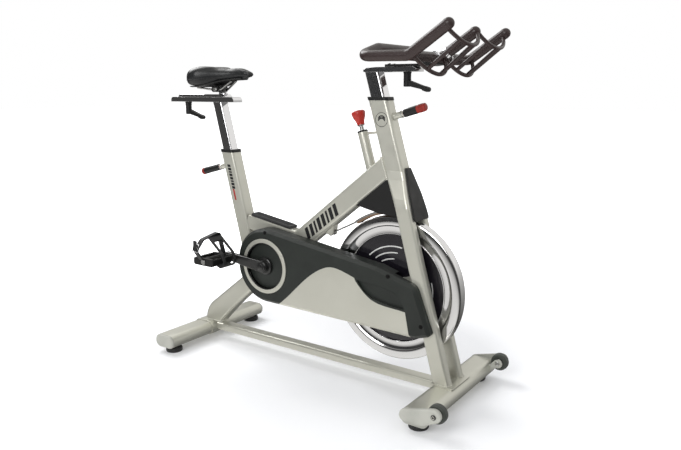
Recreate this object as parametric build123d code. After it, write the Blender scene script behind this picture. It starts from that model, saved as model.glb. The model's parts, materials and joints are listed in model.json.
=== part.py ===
"""An indoor exercise bike: welded steel frame, weighted flywheel driven by a chain, friction brake,
sliding saddle and handlebar. Millimetres, +X forwards, +Y to the rider's left, +Z up.

Lengths along X are measured forwards from the front feet; write() moves the finished pieces so
that the origin is under the middle of the whole machine."""

import os
from math import atan2, cos, degrees, pi, radians, sin, tan

from build123d import *

# ---------------------------------------------------------------- driving dimensions
ORIGIN_SHIFT = 536.5  # front feet to the middle of the whole length

FLOOR_BAR_DEPTH = 88
FLOOR_BAR_HEIGHT = 47
FLOOR_BAR_BOTTOM = 19
FLOOR_BAR_REACH = 228  # half length of the front bar, without its end caps
REAR_BAR_REACH = 235
FRONT_BAR_X = 4
REAR_BAR_X = -1018
FRONT_FOOT = (0, 199)
REAR_FOOT = (-1008, 206)
FOOT_RADIUS = 29
PLATE = 3  # weld plates on the floor bars

WALL = 2.5  # tube walls
FRAME_WIDTH = 50  # every main tube is this wide across the machine

CRANK_X, CRANK_Z = -672, 341.5  # bottom bracket axis
WHEEL_X, WHEEL_Z = -196, 329  # flywheel axis
FLYWHEEL_RADIUS = 228.5
FLYWHEEL_HALF_WIDTH = 18.5
DISC_RADIUS = 172
RIM_STEP_RADIUS = 200

DOWN_TUBE_HEIGHT = 68
DOWN_TUBE_ANGLE = 38.66
DOWN_TUBE_POINT = (-378.8, 584)  # a point on its centre line

SEAT_LEAN = 14.5
SEAT_TUBE_TOP = (-889.5, 717)
SEAT_TUBE_DEPTH = 56
SEAT_POST_DEPTH = 40
SEAT_POST_WIDTH = 38
SEAT_RAIL_BOTTOM = 893
STUB_X = -926  # the upright under the saddle clamp
SEAT_LEVER_X = -1101

HEAD_LEAN = 16.4
HEAD_TUBE_TOP = (-259, 905)
HEAD_TUBE_BOTTOM_Z = 697
HEAD_TUBE_DEPTH = 64
HEAD_POST_DEPTH = 46
HEAD_POST_WIDTH = 40
BAR_RAIL_BOTTOM = 988
BAR_LEVER_X = -170

LEG_SLOPE = 0.278  # how far back each leg goes for each millimetre up
LEG_FOOT_X = -8
LEG_OUTER_Y = 54
LEG_INNER_Y = 24

CHAIN_Y = -62
CHAIN_PITCH = 12.7
CHAINRING_TEETH = 52
SPROCKET_TEETH = 17
GUARD_FACE_Y = -80
GUARD_BACK_Y = -54.5
GUARD_INNER_Y = -28

CRANK_LENGTH = 165
CRANK_ANGLE = 6  # the right arm points backwards, this far above level
ARM_INNER_Y = 84
ARM_THICKNESS = 14
PEDAL_INNER_Y = 113
PEDAL_OUTER_Y = 208
PEDAL_LENGTH = 92

GRIP_RADIUS = 15
GRIP_Y = 187
BAR_Z = 1024
HORN_TIP = (50, 1098)
BAR_BEND_X = -62
BAR_REAR_X = -211
WIRE_RADIUS = 5.5

RUNNING_GAP = 0.05  # shafts in their bearings
SLIDE_GAP = 0.35  # pieces that slide or turn past each other

# ---------------------------------------------------------------- shapes


def slab(outline, y_low, y_high):
    """An outline drawn in X and Z, given its thickness along Y."""
    plane = Plane(origin=(0, y_high, 0), x_dir=(1, 0, 0), z_dir=(0, -1, 0))
    return extrude(plane * outline, y_high - y_low)


def sheet(outline, x_low, x_high):
    """An outline drawn in Y and Z, given its thickness along X."""
    plane = Plane(origin=(x_low, 0, 0), x_dir=(0, 1, 0), z_dir=(1, 0, 0))
    return extrude(plane * outline, x_high - x_low)


def layer(outline, z_low, z_high):
    """An outline drawn in X and Y, given its thickness along Z."""
    return extrude(Plane(origin=(0, 0, z_low)) * outline, z_high - z_low)


def block(x, y, z):
    """A box from its (low, high) along each axis."""
    size = [high - low for low, high in (x, y, z)]
    centre = [(high + low) / 2 for low, high in (x, y, z)]
    return Pos(*centre) * Box(*size)


def rod(start, end, radius, bore=0):
    """A round bar or tube between two points."""
    start, end = Vector(*start), Vector(*end)
    section = Circle(radius)
    if bore:
        section -= Circle(bore)
    return extrude(Plane(origin=start, z_dir=end - start) * section, (end - start).length)


def disc(x, z, y_low, y_high, radius, bore=0):
    """A round piece turning about an axis along Y."""
    outline = Circle(radius)
    if bore:
        outline -= Circle(bore)
    return slab(Pos(x, z) * outline, y_low, y_high)


def rounded(width, height, corner, wall=0):
    section = RectangleRounded(width, height, corner)
    if wall:
        section -= RectangleRounded(width - 2 * wall, height - 2 * wall, corner - wall)
    return section


def box_tube(start, end, width, height, corner, wall=0):
    """A rounded box tube between two points in the X-Z plane; its width lies along Y."""
    start, end = Vector(start[0], 0, start[1]), Vector(end[0], 0, end[1])
    plane = Plane(origin=start, x_dir=(0, 1, 0), z_dir=end - start)
    return extrude(plane * rounded(width, height, corner, wall), (end - start).length)


def bent_round(path, radius):
    """A round bar along a path that begins at its first edge's start."""
    begin = Plane(origin=path @ 0, z_dir=path % 0)
    return sweep(begin * Circle(radius), path=path)


def wrapped(circles):
    """The outline of a band pulled round circles given as (x, z, radius)."""
    return make_hull([edge for x, z, r in circles for edge in (Pos(x, z) * Circle(r)).edges()])


def mirrored(piece):
    """The same piece on the other side of the machine."""
    return mirror(piece, about=Plane.XZ)


def point_on(start, lean, distance):
    """A point up a line that leans backwards from start."""
    return (start[0] - distance * sin(radians(lean)), start[1] + distance * cos(radians(lean)))


def write(name, *pieces):
    """One sub-part, as separate solids when it has several, moved to the machine's origin."""
    solids = [Pos(ORIGIN_SHIFT, 0, 0) * solid for piece in pieces for solid in piece.solids()]
    export_step(solids[0] if len(solids) == 1 else Compound(solids), f"parts/{name}.step")


# ---------------------------------------------------------------- frame


def down_line(x, rise=0):
    """The down tube's centre line at x, or a line this far above it, square to it."""
    slope = tan(radians(DOWN_TUBE_ANGLE))
    z = DOWN_TUBE_POINT[1] + slope * (x - DOWN_TUBE_POINT[0])
    return z + rise / cos(radians(DOWN_TUBE_ANGLE))


def main_tube_path(x_low, x_high):
    return (x_low, down_line(x_low)), (x_high, down_line(x_high))


def floor_bar_section(grow=0):
    corner = 22 + grow
    return RectangleRounded(FLOOR_BAR_DEPTH + 2 * grow, FLOOR_BAR_HEIGHT + 2 * grow, corner)


FLOOR_BAR_MIDDLE = FLOOR_BAR_BOTTOM + FLOOR_BAR_HEIGHT / 2
FLOOR_BAR_TOP = FLOOR_BAR_BOTTOM + FLOOR_BAR_HEIGHT
WELD_TOP = FLOOR_BAR_TOP + PLATE


def floor_bar(x, reach):
    outline = floor_bar_section() - floor_bar_section(-3)
    return slab(Pos(x, FLOOR_BAR_MIDDLE) * outline, -reach, reach)


def rear_end_cap():
    place = Pos(REAR_BAR_X, FLOOR_BAR_MIDDLE)
    cap = slab(place * floor_bar_section(), -REAR_BAR_REACH - 12, -REAR_BAR_REACH)
    return fillet(cap.faces().sort_by(Axis.Y)[0].edges(), 9)


AXLE_X, AXLE_Z = 70, 69  # transport wheel axis
TYRE_RADIUS = 27.5
TYRE_Y = (-FLOOR_BAR_REACH + 20, -FLOOR_BAR_REACH - 5)
CARRIER_Y = (-FLOOR_BAR_REACH - 19, -FLOOR_BAR_REACH - 7)


def front_end_cap():
    """The end of the front bar, reaching forwards outside the transport wheel to carry its axle."""
    bar_end = Pos(FRONT_BAR_X - 1, FLOOR_BAR_MIDDLE + 5) * RectangleRounded(84, 37, 18)
    wheel_end = Pos(AXLE_X, AXLE_Z + 1) * Circle(20)
    carrier = slab(make_hull([*bar_end.edges(), *wheel_end.edges()]), *CARRIER_Y)
    carrier = fillet(carrier.faces().sort_by(Axis.Y)[0].edges(), 5)
    plug = slab(Pos(FRONT_BAR_X, FLOOR_BAR_MIDDLE) * floor_bar_section(), CARRIER_Y[1], -FLOOR_BAR_REACH)
    return carrier + plug - rod((AXLE_X, -300, AXLE_Z), (AXLE_X, -200, AXLE_Z), 4)


def wheel_bolt():
    """The axle of one transport wheel: a bolt with a domed head outside the carrier."""
    shank = rod((AXLE_X, CARRIER_Y[0], AXLE_Z), (AXLE_X, TYRE_Y[0] + 6, AXLE_Z), 4)
    head = rod((AXLE_X, CARRIER_Y[0] - 4, AXLE_Z), (AXLE_X, CARRIER_Y[0], AXLE_Z), 7.5)
    head = fillet(head.faces().sort_by(Axis.Y)[0].edges(), 2.5)
    nut_y = TYRE_Y[0] + SLIDE_GAP
    nut = rod((AXLE_X, nut_y, AXLE_Z), (AXLE_X, nut_y + 5, AXLE_Z), 7)
    return shank + head + nut


def transport_wheel():
    tyre = disc(AXLE_X, AXLE_Z, TYRE_Y[1] - SLIDE_GAP + 1, TYRE_Y[0], TYRE_RADIUS, 4 + RUNNING_GAP)
    round_edges = [edge for edge in tyre.edges().filter_by(GeomType.CIRCLE) if edge.radius > 20]
    return fillet(round_edges, 6)


def rubber_foot(x, y):
    pad = layer(Circle(FOOT_RADIUS), 0, 15) + layer(Circle(FOOT_RADIUS - 6), 15, FLOOR_BAR_BOTTOM)
    rims = [edge for edge in pad.edges().filter_by(GeomType.CIRCLE) if edge.radius > FOOT_RADIUS - 1]
    return Pos(x, y, 0) * fillet(rims, 2.5)


def fork_base_plate():
    return layer(Pos(LEG_FOOT_X + 8, 0) * RectangleRounded(76, 122, 6), FLOOR_BAR_TOP, WELD_TOP)


def rear_strap():
    """The plate bent over the rear bar, which the main tube and the long floor tube are welded to."""
    place = Pos(REAR_BAR_X, FLOOR_BAR_MIDDLE)
    band = slab(place * (floor_bar_section(PLATE) - floor_bar_section()), -46, 46)
    return band - block((REAR_BAR_X - 100, REAR_BAR_X), (-50, 50), (0, FLOOR_BAR_TOP - 12))


BASE_TUBE_Z = (33, 60)


def base_tube():
    middle = sum(BASE_TUBE_Z) / 2
    start = REAR_BAR_X + FLOOR_BAR_DEPTH / 2
    tube = box_tube((start - 10, middle), (FRONT_BAR_X, middle), 42, BASE_TUBE_Z[1] - BASE_TUBE_Z[0], 6, WALL)
    solid_bars = slab(Pos(REAR_BAR_X, FLOOR_BAR_MIDDLE) * floor_bar_section(PLATE), -60, 60)
    solid_bars += slab(Pos(FRONT_BAR_X, FLOOR_BAR_MIDDLE) * floor_bar_section(), -60, 60)
    return tube - solid_bars


def leg_centre_x(z):
    return LEG_FOOT_X - LEG_SLOPE * (z - 72)


def leg_section(z, centre_x, inner_y, outer_y, depth, inset):
    """A level cut through the right leg; inset draws the hollow inside it instead."""
    size = (depth - 2 * inset, outer_y - inner_y - 2 * inset)
    corner = 9 - inset
    return Plane(origin=(centre_x, -(inner_y + outer_y) / 2, z)) * RectangleRounded(*size, corner)


LEG_BEND_Z = 590
LEG_FOOT_DEPTH, LEG_TOP_DEPTH = 56, 50
HEAD_TUBE_LEVEL_DEPTH = HEAD_TUBE_DEPTH / cos(radians(HEAD_LEAN))


def head_centre_x(z):
    return HEAD_TUBE_TOP[0] + (HEAD_TUBE_TOP[1] - z) * tan(radians(HEAD_LEAN))


def leg_bend():
    """Level cuts through the bent top of the right leg: height, middle, inner and outer side, depth."""
    cuts = []
    sideways = head_centre_x(HEAD_TUBE_BOTTOM_Z) - leg_centre_x(HEAD_TUBE_BOTTOM_Z)
    for step in range(5):
        share = step / 4
        ease = share * share * (3 - 2 * share)
        z = LEG_BEND_Z + share * (HEAD_TUBE_BOTTOM_Z - LEG_BEND_Z)
        inner = LEG_INNER_Y * (1 - ease)
        outer = LEG_OUTER_Y + ease * (FRAME_WIDTH / 2 - LEG_OUTER_Y)
        depth = LEG_TOP_DEPTH + ease * (HEAD_TUBE_LEVEL_DEPTH - LEG_TOP_DEPTH)
        cuts.append((z, leg_centre_x(z) + ease * sideways, inner, outer, depth))
    return cuts


def fork_leg(inset=0):
    """The right leg: straight up from the floor plate, then bent inwards to meet the head tube."""
    straight = [
        leg_section(z, leg_centre_x(z), LEG_INNER_Y, LEG_OUTER_Y, depth, inset)
        for z, depth in ((WELD_TOP, LEG_FOOT_DEPTH), (LEG_BEND_Z, LEG_TOP_DEPTH))
    ]
    bend = [leg_section(*cut, inset) for cut in leg_bend()]
    return loft(straight, ruled=True) + loft(bend, ruled=True)


def hollow_leg():
    return fork_leg() - fork_leg(WALL)


def head_tube_body(wall=0):
    top = point_on(HEAD_TUBE_TOP, HEAD_LEAN, 40)
    bottom = (head_centre_x(HEAD_TUBE_BOTTOM_Z - 40), HEAD_TUBE_BOTTOM_Z - 40)
    tube = box_tube(bottom, top, FRAME_WIDTH, HEAD_TUBE_DEPTH, 11, wall)
    return tube & block((-400, 0), (-60, 60), (HEAD_TUBE_BOTTOM_Z, HEAD_TUBE_TOP[1]))


def across_head(start_share, distance):
    """A point in front of the head tube, measured square to it from its centre line."""
    x, z = start_share
    return (x + distance * cos(radians(HEAD_LEAN)), 0, z + distance * sin(radians(HEAD_LEAN)))


def behind_seat(start, distance):
    """A point behind the seat tube, measured square to it from its centre line."""
    x, z = start
    return (x - distance * cos(radians(SEAT_LEAN)), 0, z - distance * sin(radians(SEAT_LEAN)))


HEAD_PIN = (head_centre_x(848), 848)
SEAT_PIN = (SEAT_TUBE_TOP[0] + 40 * tan(radians(SEAT_LEAN)), SEAT_TUBE_TOP[1] - 40)
HEAD_BARREL, SEAT_BARREL = 34, 38  # how far the barrels stand out of the tubes
PIN_BARREL = 10
PIN_BORE = 6


def head_tube():
    wall_middle = HEAD_TUBE_DEPTH / 2
    end = wall_middle + HEAD_BARREL
    barrel = rod(across_head(HEAD_PIN, wall_middle - 2), across_head(HEAD_PIN, end), PIN_BARREL)
    bore = rod(across_head(HEAD_PIN, wall_middle - 8), across_head(HEAD_PIN, end + 1), PIN_BORE)
    return head_tube_body(WALL) + barrel - bore


def seat_tube_body(wall=0):
    top = point_on(SEAT_TUBE_TOP, SEAT_LEAN, 40)
    bottom = point_on(SEAT_TUBE_TOP, SEAT_LEAN, -480)
    tube = box_tube(bottom, top, FRAME_WIDTH, SEAT_TUBE_DEPTH, 10, wall)
    return tube & block((-1100, -600), (-60, 60), (200, SEAT_TUBE_TOP[1]))


def seat_tube():
    wall_middle = SEAT_TUBE_DEPTH / 2
    end = wall_middle + SEAT_BARREL
    barrel = rod(behind_seat(SEAT_PIN, wall_middle - 2), behind_seat(SEAT_PIN, end), PIN_BARREL)
    bore = rod(behind_seat(SEAT_PIN, wall_middle - 8), behind_seat(SEAT_PIN, end + 1), PIN_BORE)
    tube = seat_tube_body(WALL) - main_tube_envelope() + barrel - bore
    return tube.solids().sort_by(SortBy.VOLUME)[-1]


STRUT_TOP_BEND = (-984, 150.5)  # where the strut's upper side turns down to the rear bar
STRUT_TOP_FOOT_X = -1029
STRUT_SHOULDER = (-1015, 116)
STRUT_BELLY = (-833, 182)  # the middle of the curve under the strut
STRUT_FOOT_X = -950


def strut_outline(inset=0):
    """The rear part of the main tube, seen from the side: it widens and curves down onto the rear bar."""
    half = DOWN_TUBE_HEIGHT / 2 - inset
    top_start = (CRANK_X, down_line(CRANK_X, half))
    bottom_start = (CRANK_X, down_line(CRANK_X, -half))
    top_bend = (STRUT_TOP_BEND[0] + inset, STRUT_TOP_BEND[1] - inset)
    shoulder = (STRUT_SHOULDER[0] + inset, STRUT_SHOULDER[1] - inset / 2)
    top_foot = (STRUT_TOP_FOOT_X + inset, WELD_TOP)
    belly = (STRUT_BELLY[0] - inset, STRUT_BELLY[1] + inset)
    bottom_foot = (STRUT_FOOT_X - inset, WELD_TOP)
    return make_face(
        Polyline(top_start, top_bend)
        + ThreePointArc(top_bend, shoulder, top_foot)
        + Polyline(top_foot, bottom_foot)
        + ThreePointArc(bottom_foot, belly, bottom_start)
        + Polyline(bottom_start, top_start)
    )


def strut_body(inset=0):
    half = FRAME_WIDTH / 2 - inset
    return slab(strut_outline(inset), -half, half)


def on_strut_end(edge):
    """True for the edges where the strut meets the down tube or the rear bar."""
    middle = edge.center()
    return abs(middle.X - CRANK_X) < 1 or middle.Z < WELD_TOP + 1


def rear_strut():
    strut = strut_body()
    side_edges = [edge for side in (0, -1) for edge in strut.faces().sort_by(Axis.Y)[side].edges()]
    strut = fillet([edge for edge in side_edges if not on_strut_end(edge)], 10)
    return (strut - strut_body(WALL) - shell_space()).solids().sort_by(SortBy.VOLUME)[-1]


def down_tube_body(wall=0):
    return box_tube(*main_tube_path(CRANK_X, -150), FRAME_WIDTH, DOWN_TUBE_HEIGHT, 10, wall)


def main_tube_envelope():
    return strut_body() + down_tube_body()


BRAKE_ROD_LOW = (-254.6, 568.9)
SHELL_RADIUS = 27
SHELL_BORE = 20


def shell_space():
    return rod((CRANK_X, -40, CRANK_Z), (CRANK_X, 40, CRANK_Z), SHELL_RADIUS)


def brake_line(distance):
    """A point on the brake rod's line, measured up from its lower end."""
    x, z = point_on(BRAKE_ROD_LOW, HEAD_LEAN, distance)
    return (x, 0, z)


def down_tube():
    tube = down_tube_body(WALL) - fork_side() - shell_space() - strut_body()
    tube -= rod(brake_line(0), brake_line(208), 9)
    return tube.solids().sort_by(SortBy.VOLUME)[-1]


def bottom_bracket_shell():
    return rod((CRANK_X, -34, CRANK_Z), (CRANK_X, 34, CRANK_Z), SHELL_RADIUS, SHELL_BORE)


GUSSET_FRONT = (-575, 438)
GUSSET_REAR = (-800, 474)
GUSSET_HEIGHT = 52


def gusset_tube():
    """The short level tube between the seat tube and the down tube."""
    tube = box_tube(GUSSET_REAR, GUSSET_FRONT, 44, GUSSET_HEIGHT, 7, WALL)
    tube = tube - seat_tube_body() - down_tube_body()
    return tube.solids().sort_by(SortBy.VOLUME)[-1]


def step_pad():
    """The rubber pad on top of the gusset."""
    length = 176
    slope = degrees(atan2(GUSSET_FRONT[1] - GUSSET_REAR[1], GUSSET_FRONT[0] - GUSSET_REAR[0]))
    middle_x = -694
    share = (middle_x - GUSSET_REAR[0]) / (GUSSET_FRONT[0] - GUSSET_REAR[0])
    middle_z = GUSSET_REAR[1] + share * (GUSSET_FRONT[1] - GUSSET_REAR[1])
    top_z = middle_z + GUSSET_HEIGHT / 2 / cos(radians(slope))
    pad = Pos(0, 0, 5) * Box(length, 42, 10)
    pad = fillet(pad.edges().filter_by(Axis.X).group_by(Axis.Z)[-1], 6)
    return Pos(middle_x, 0, top_z) * Rot(0, -slope, 0) * pad


def post_sleeve(top, lean, tube_depth, tube_corner, post_depth, post_width):
    """The plastic liner between a frame tube and its post, with a collar on top of the tube."""
    low = point_on(top, lean, -130)
    high = point_on(top, lean, 60)
    liner = box_tube(low, high, FRAME_WIDTH - 2 * WALL - 0.2, tube_depth - 2 * WALL - 0.2, tube_corner - WALL)
    collar = box_tube(low, high, FRAME_WIDTH + 3, tube_depth + 3, 11)
    collar &= block((-1200, 0), (-60, 60), (top[1], top[1] + 10))
    liner &= block((-1200, 0), (-60, 60), (top[1] - 120, top[1] + 0.5))
    hole = box_tube(low, high, post_width + 2 * SLIDE_GAP, post_depth + 2 * SLIDE_GAP, 4)
    return liner + collar - hole


def head_sleeve():
    sleeve = post_sleeve(HEAD_TUBE_TOP, HEAD_LEAN, HEAD_TUBE_DEPTH, 11, HEAD_POST_DEPTH, HEAD_POST_WIDTH)
    return sleeve - rod(across_head(HEAD_PIN, 0), across_head(HEAD_PIN, 60), PIN_BORE)


def seat_sleeve():
    sleeve = post_sleeve(SEAT_TUBE_TOP, SEAT_LEAN, SEAT_TUBE_DEPTH, 10, SEAT_POST_DEPTH, SEAT_POST_WIDTH)
    return sleeve - rod(behind_seat(SEAT_PIN, 0), behind_seat(SEAT_PIN, 60), PIN_BORE)


COVER_THICKNESS = 7
COVER_REAR_X = -328  # how far back the rear cover reaches along the down tube


def fork_front_cover():
    """The black shield over the gap between the legs, in front."""
    half = [(11, 706), (34, 628), (43, 560), (40, 553)]
    other_half = [(-y, z) for y, z in reversed(half)]
    shield = make_face(Polyline(*half, *other_half, close=True))
    legs = LEG_TOP_DEPTH / 2 + 1
    top_z = 712
    front = [(leg_centre_x(z) + legs, z) for z in (545, LEG_BEND_Z)]
    front.append((head_centre_x(top_z) + HEAD_TUBE_DEPTH / 2 + 3, top_z))
    outer = [(x + COVER_THICKNESS, z) for x, z in reversed(front)]
    band = slab(make_face(Polyline(*front, *outer, close=True)), -60, 60)
    return sheet(shield, -200, -60) & band


def fork_rear_cover():
    """The black channel below the down tube and behind the legs; the brake rod passes through it."""
    under = -DOWN_TUBE_HEIGHT / 2
    top_front = (-212, down_line(-212, under))
    top_rear = (COVER_REAR_X, down_line(COVER_REAR_X, under))
    outline = make_face(Polyline(top_front, top_rear, (-243, 563), (-178, 558), close=True))
    solid = slab(outline, -31, 31)
    hollow = make_face(Polyline((-190, 690), (-344, 568), (-344, 500), (-100, 500), close=True))
    inside = slab(hollow, -28, 28)
    cover = solid - inside - fork_side() - down_tube_body() - rod(brake_line(-12), brake_line(128), 11)
    return cover.solids().sort_by(SortBy.VOLUME)[-1]


def fork_side():
    """Everything in front of the rear face of the legs and the head tube."""
    low, high = 500, 1000
    rear = [(centre - depth / 2, z) for z, centre, _, _, depth in leg_bend()]
    rear = [(leg_centre_x(low) - LEG_TOP_DEPTH / 2, low), *rear]
    rear.append((head_centre_x(high) - HEAD_TUBE_LEVEL_DEPTH / 2, high))
    return slab(make_face(Polyline((0, low), *rear, (0, high), close=True)), -60, 60)


AXLE_RADIUS = 10
BEARING_RADIUS = 17
BRACKET_Y = (22.5, 31)
HUB_SEAT_Y = (21, 36)


def axle_bracket():
    """The plate behind the right leg that carries the flywheel's axle."""
    leg_x = leg_centre_x(WHEEL_Z)
    outline = wrapped([(WHEEL_X, WHEEL_Z, 30), (leg_x - 20, 380, 10), (leg_x, 270, 10)])
    plate = slab(outline, -BRACKET_Y[1], -BRACKET_Y[0])
    seat = disc(WHEEL_X, WHEEL_Z, -HUB_SEAT_Y[1], -HUB_SEAT_Y[0], 24)
    bore = disc(WHEEL_X, WHEEL_Z, -60, 0, BEARING_RADIUS)
    return (plate + seat - fork_leg() - bore).solids().sort_by(SortBy.VOLUME)[-1]


def axle_bearing():
    return disc(WHEEL_X, WHEEL_Z, -HUB_SEAT_Y[1], -HUB_SEAT_Y[0], BEARING_RADIUS, AXLE_RADIUS + RUNNING_GAP)


CRANK_AXLE_RADIUS = 8.5


def crank_bearing():
    return disc(CRANK_X, CRANK_Z, -36, -22, SHELL_BORE, CRANK_AXLE_RADIUS + RUNNING_GAP)


# ---------------------------------------------------------------- chain guard

GUARD_CORNERS = [(CRANK_X, CRANK_Z, 128.5), (-235, 345, 62), (-118, 335, 38), (-49, 229, 12.5), (-85, 218, 13)]
RING_OUTER, RING_INNER = 95.7, 81
BEVEL = 10
SKIN = 3


def guard_outline(grow=0):
    return wrapped([(x, z, radius + grow) for x, z, radius in GUARD_CORNERS])


def recess_outline():
    upper = [(-292, 355), (-215, 352), (-152, 338), (-131, 316), (-122, 290)]
    lower = [(-170, 293), (-236, 305), (-266, 322), (-284, 342)]
    return make_face(Polyline(*upper, *lower, close=True))


def panel_outline():
    """Where the metal panel shows: below a wave that starts at the lower edge of the guard."""
    wave = Spline((-640, 200), (-530, 291), (-442, 362), (-395, 380), (-345, 374), (-301, 360))
    dip = [(-301, 360), (-285, 337), (-238, 300), (-170, 287), (-118, 283)]
    hollow = Spline(*dip, tangents=((0.3, -1), (1, -0.1)))
    rest = Polyline((-118, 283), (-99, 190), (-640, 190), (-640, 200))
    return make_face(wave + hollow + rest)


def guard_shell():
    """The outer half of the chain guard: a tray with a bevelled edge and a dished recess."""
    body = slab(guard_outline(), GUARD_FACE_Y, GUARD_BACK_Y)
    body = chamfer(body.faces().sort_by(Axis.Y)[0].edges(), BEVEL)
    space = slab(guard_outline(-SKIN), GUARD_FACE_Y + BEVEL + 1, GUARD_BACK_Y)
    space += slab(guard_outline(-BEVEL - 2), GUARD_FACE_Y + SKIN, GUARD_BACK_Y)
    floor = slab(offset(recess_outline(), SKIN), GUARD_FACE_Y + 1, GUARD_FACE_Y + 9 + SKIN)
    body = body - space + floor
    body -= slab(recess_outline(), GUARD_FACE_Y - 1, GUARD_FACE_Y + 9)
    return body - disc(CRANK_X, CRANK_Z, GUARD_FACE_Y - 1, GUARD_BACK_Y, RING_INNER + 2)


def guard_cover():
    return (guard_shell() - slab(panel_outline(), -90, -50)).solids().sort_by(SortBy.VOLUME)[-1]


def guard_panel():
    panel = guard_shell() & slab(panel_outline(), -90, -50)
    return panel.solids().sort_by(SortBy.VOLUME)[-1]


def guard_ring():
    ring = disc(CRANK_X, CRANK_Z, GUARD_FACE_Y - 3, GUARD_FACE_Y, RING_OUTER, RING_INNER)
    ring = fillet(ring.faces().sort_by(Axis.Y)[0].edges(), 1.4)
    return ring + disc(CRANK_X, CRANK_Z, GUARD_FACE_Y, GUARD_FACE_Y + 6, RING_INNER + 2, RING_INNER)


def guard_back():
    """The inner half: closes the tray towards the frame, with room for the axles and the bracket."""
    body = slab(guard_outline(), GUARD_BACK_Y, GUARD_INNER_Y)
    body -= slab(guard_outline(-SKIN), GUARD_BACK_Y, GUARD_INNER_Y - SKIN)
    body -= block((-255, 0), (-60, 0), (0, 390))
    body -= block((-150, 0), (-60, 0), (0, 600))
    body -= rod((CRANK_X, -60, CRANK_Z), (CRANK_X, 0, CRANK_Z), SHELL_RADIUS + 0.5)
    body -= seat_tube_body() + main_tube_envelope()
    return body.solids().sort_by(SortBy.VOLUME)[-1]


GUARD_SCREWS = [(-668, 459), (-180, 384), (-64, 248)]


def guard_screw(x, z):
    return rod((x, GUARD_FACE_Y - 1.5, z), (x, GUARD_FACE_Y, z), 5)


# ---------------------------------------------------------------- flywheel and cranks


def flywheel_rim():
    """The heavy chromed rim, thick at its edge and stepped down towards the disc."""
    half = Polyline(
        (FLYWHEEL_RADIUS - 1.5, -FLYWHEEL_HALF_WIDTH),
        (RIM_STEP_RADIUS + 1, -FLYWHEEL_HALF_WIDTH),
        (RIM_STEP_RADIUS, -FLYWHEEL_HALF_WIDTH + 2),
        (DISC_RADIUS, -13),
        (DISC_RADIUS, 13),
        (RIM_STEP_RADIUS, FLYWHEEL_HALF_WIDTH - 2),
        (RIM_STEP_RADIUS + 1, FLYWHEEL_HALF_WIDTH),
        (FLYWHEEL_RADIUS - 1.5, FLYWHEEL_HALF_WIDTH),
        (FLYWHEEL_RADIUS, FLYWHEEL_HALF_WIDTH - 1.5),
        (FLYWHEEL_RADIUS, -FLYWHEEL_HALF_WIDTH + 1.5),
        close=True,
    )
    return Pos(WHEEL_X, 0, WHEEL_Z) * revolve(make_face(half), Axis.Y)


def flywheel_disc():
    return disc(WHEEL_X, WHEEL_Z, -8, 8, DISC_RADIUS, 30)


def flywheel_hub():
    """The hub: a flange that carries the disc, with a narrow shoulder on each side."""
    flange = disc(WHEEL_X, WHEEL_Z, -15, 15, 30, AXLE_RADIUS)
    return flange + disc(WHEEL_X, WHEEL_Z, -20, 20, 15, AXLE_RADIUS)


def flywheel_axle():
    axle = disc(WHEEL_X, WHEEL_Z, -66, 46, AXLE_RADIUS)
    nut = Pos(WHEEL_X, 0, WHEEL_Z) * slab(RegularPolygon(15, 6), 37, 45)
    return axle + nut


def toothed(x, z, teeth, bore):
    """A chain wheel: a disc with a roller pocket cut between each pair of teeth."""
    pitch_radius = CHAIN_PITCH / (2 * sin(pi / teeth))
    outline = Circle(pitch_radius + 3.5) - PolarLocations(pitch_radius, teeth) * Circle(4.1)
    return slab(Pos(x, z) * (outline - Circle(bore)), CHAIN_Y - 1.4, CHAIN_Y + 1.4)


def sprocket():
    return toothed(WHEEL_X, WHEEL_Z, SPROCKET_TEETH, AXLE_RADIUS)


def chainring():
    return toothed(CRANK_X, CRANK_Z, CHAINRING_TEETH, 24)


def drive_chain():
    """The two rows of side plates; the teeth run between them."""
    ring = CHAIN_PITCH / (2 * sin(pi / CHAINRING_TEETH))
    small = CHAIN_PITCH / (2 * sin(pi / SPROCKET_TEETH))
    circles = [(CRANK_X, CRANK_Z, ring), (WHEEL_X, WHEEL_Z, small)]
    outer = wrapped([(x, z, radius + 4.2) for x, z, radius in circles])
    inner = wrapped([(x, z, radius - 4.2) for x, z, radius in circles])
    return [slab(outer - inner, CHAIN_Y + low, CHAIN_Y + high) for low, high in ((-4.2, -1.9), (1.9, 4.2))]


def crank_axle():
    return rod((CRANK_X, -100, CRANK_Z), (CRANK_X, 100, CRANK_Z), CRANK_AXLE_RADIUS)


PEDAL_X = CRANK_X - CRANK_LENGTH * cos(radians(CRANK_ANGLE))
PEDAL_Z = CRANK_Z + CRANK_LENGTH * sin(radians(CRANK_ANGLE))
LEFT_PEDAL_X = 2 * CRANK_X - PEDAL_X
LEFT_PEDAL_Z = 2 * CRANK_Z - PEDAL_Z
SPINDLE_RADIUS = 6


def crank_arm():
    """The right arm, thick at the axle and narrow at the pedal, with a boss that carries the chainring."""
    outer_y = -ARM_INNER_Y - ARM_THICKNESS
    arm = slab(wrapped([(CRANK_X, CRANK_Z, 20), (PEDAL_X, PEDAL_Z, 14)]), outer_y, -ARM_INNER_Y)
    arm = fillet(arm.faces().sort_by(Axis.Y)[0].edges(), 4)
    boss = disc(CRANK_X, CRANK_Z, -ARM_INNER_Y, CHAIN_Y - 1.4, 23)
    hub = disc(CRANK_X, CRANK_Z, CHAIN_Y - 1.4, -37.5, 24)
    axle_hole = rod((CRANK_X, -101, CRANK_Z), (CRANK_X, 0, CRANK_Z), CRANK_AXLE_RADIUS)
    spindle_hole = rod((PEDAL_X, -101, PEDAL_Z), (PEDAL_X, -60, PEDAL_Z), SPINDLE_RADIUS)
    return arm + boss + hub - axle_hole - spindle_hole


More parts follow.
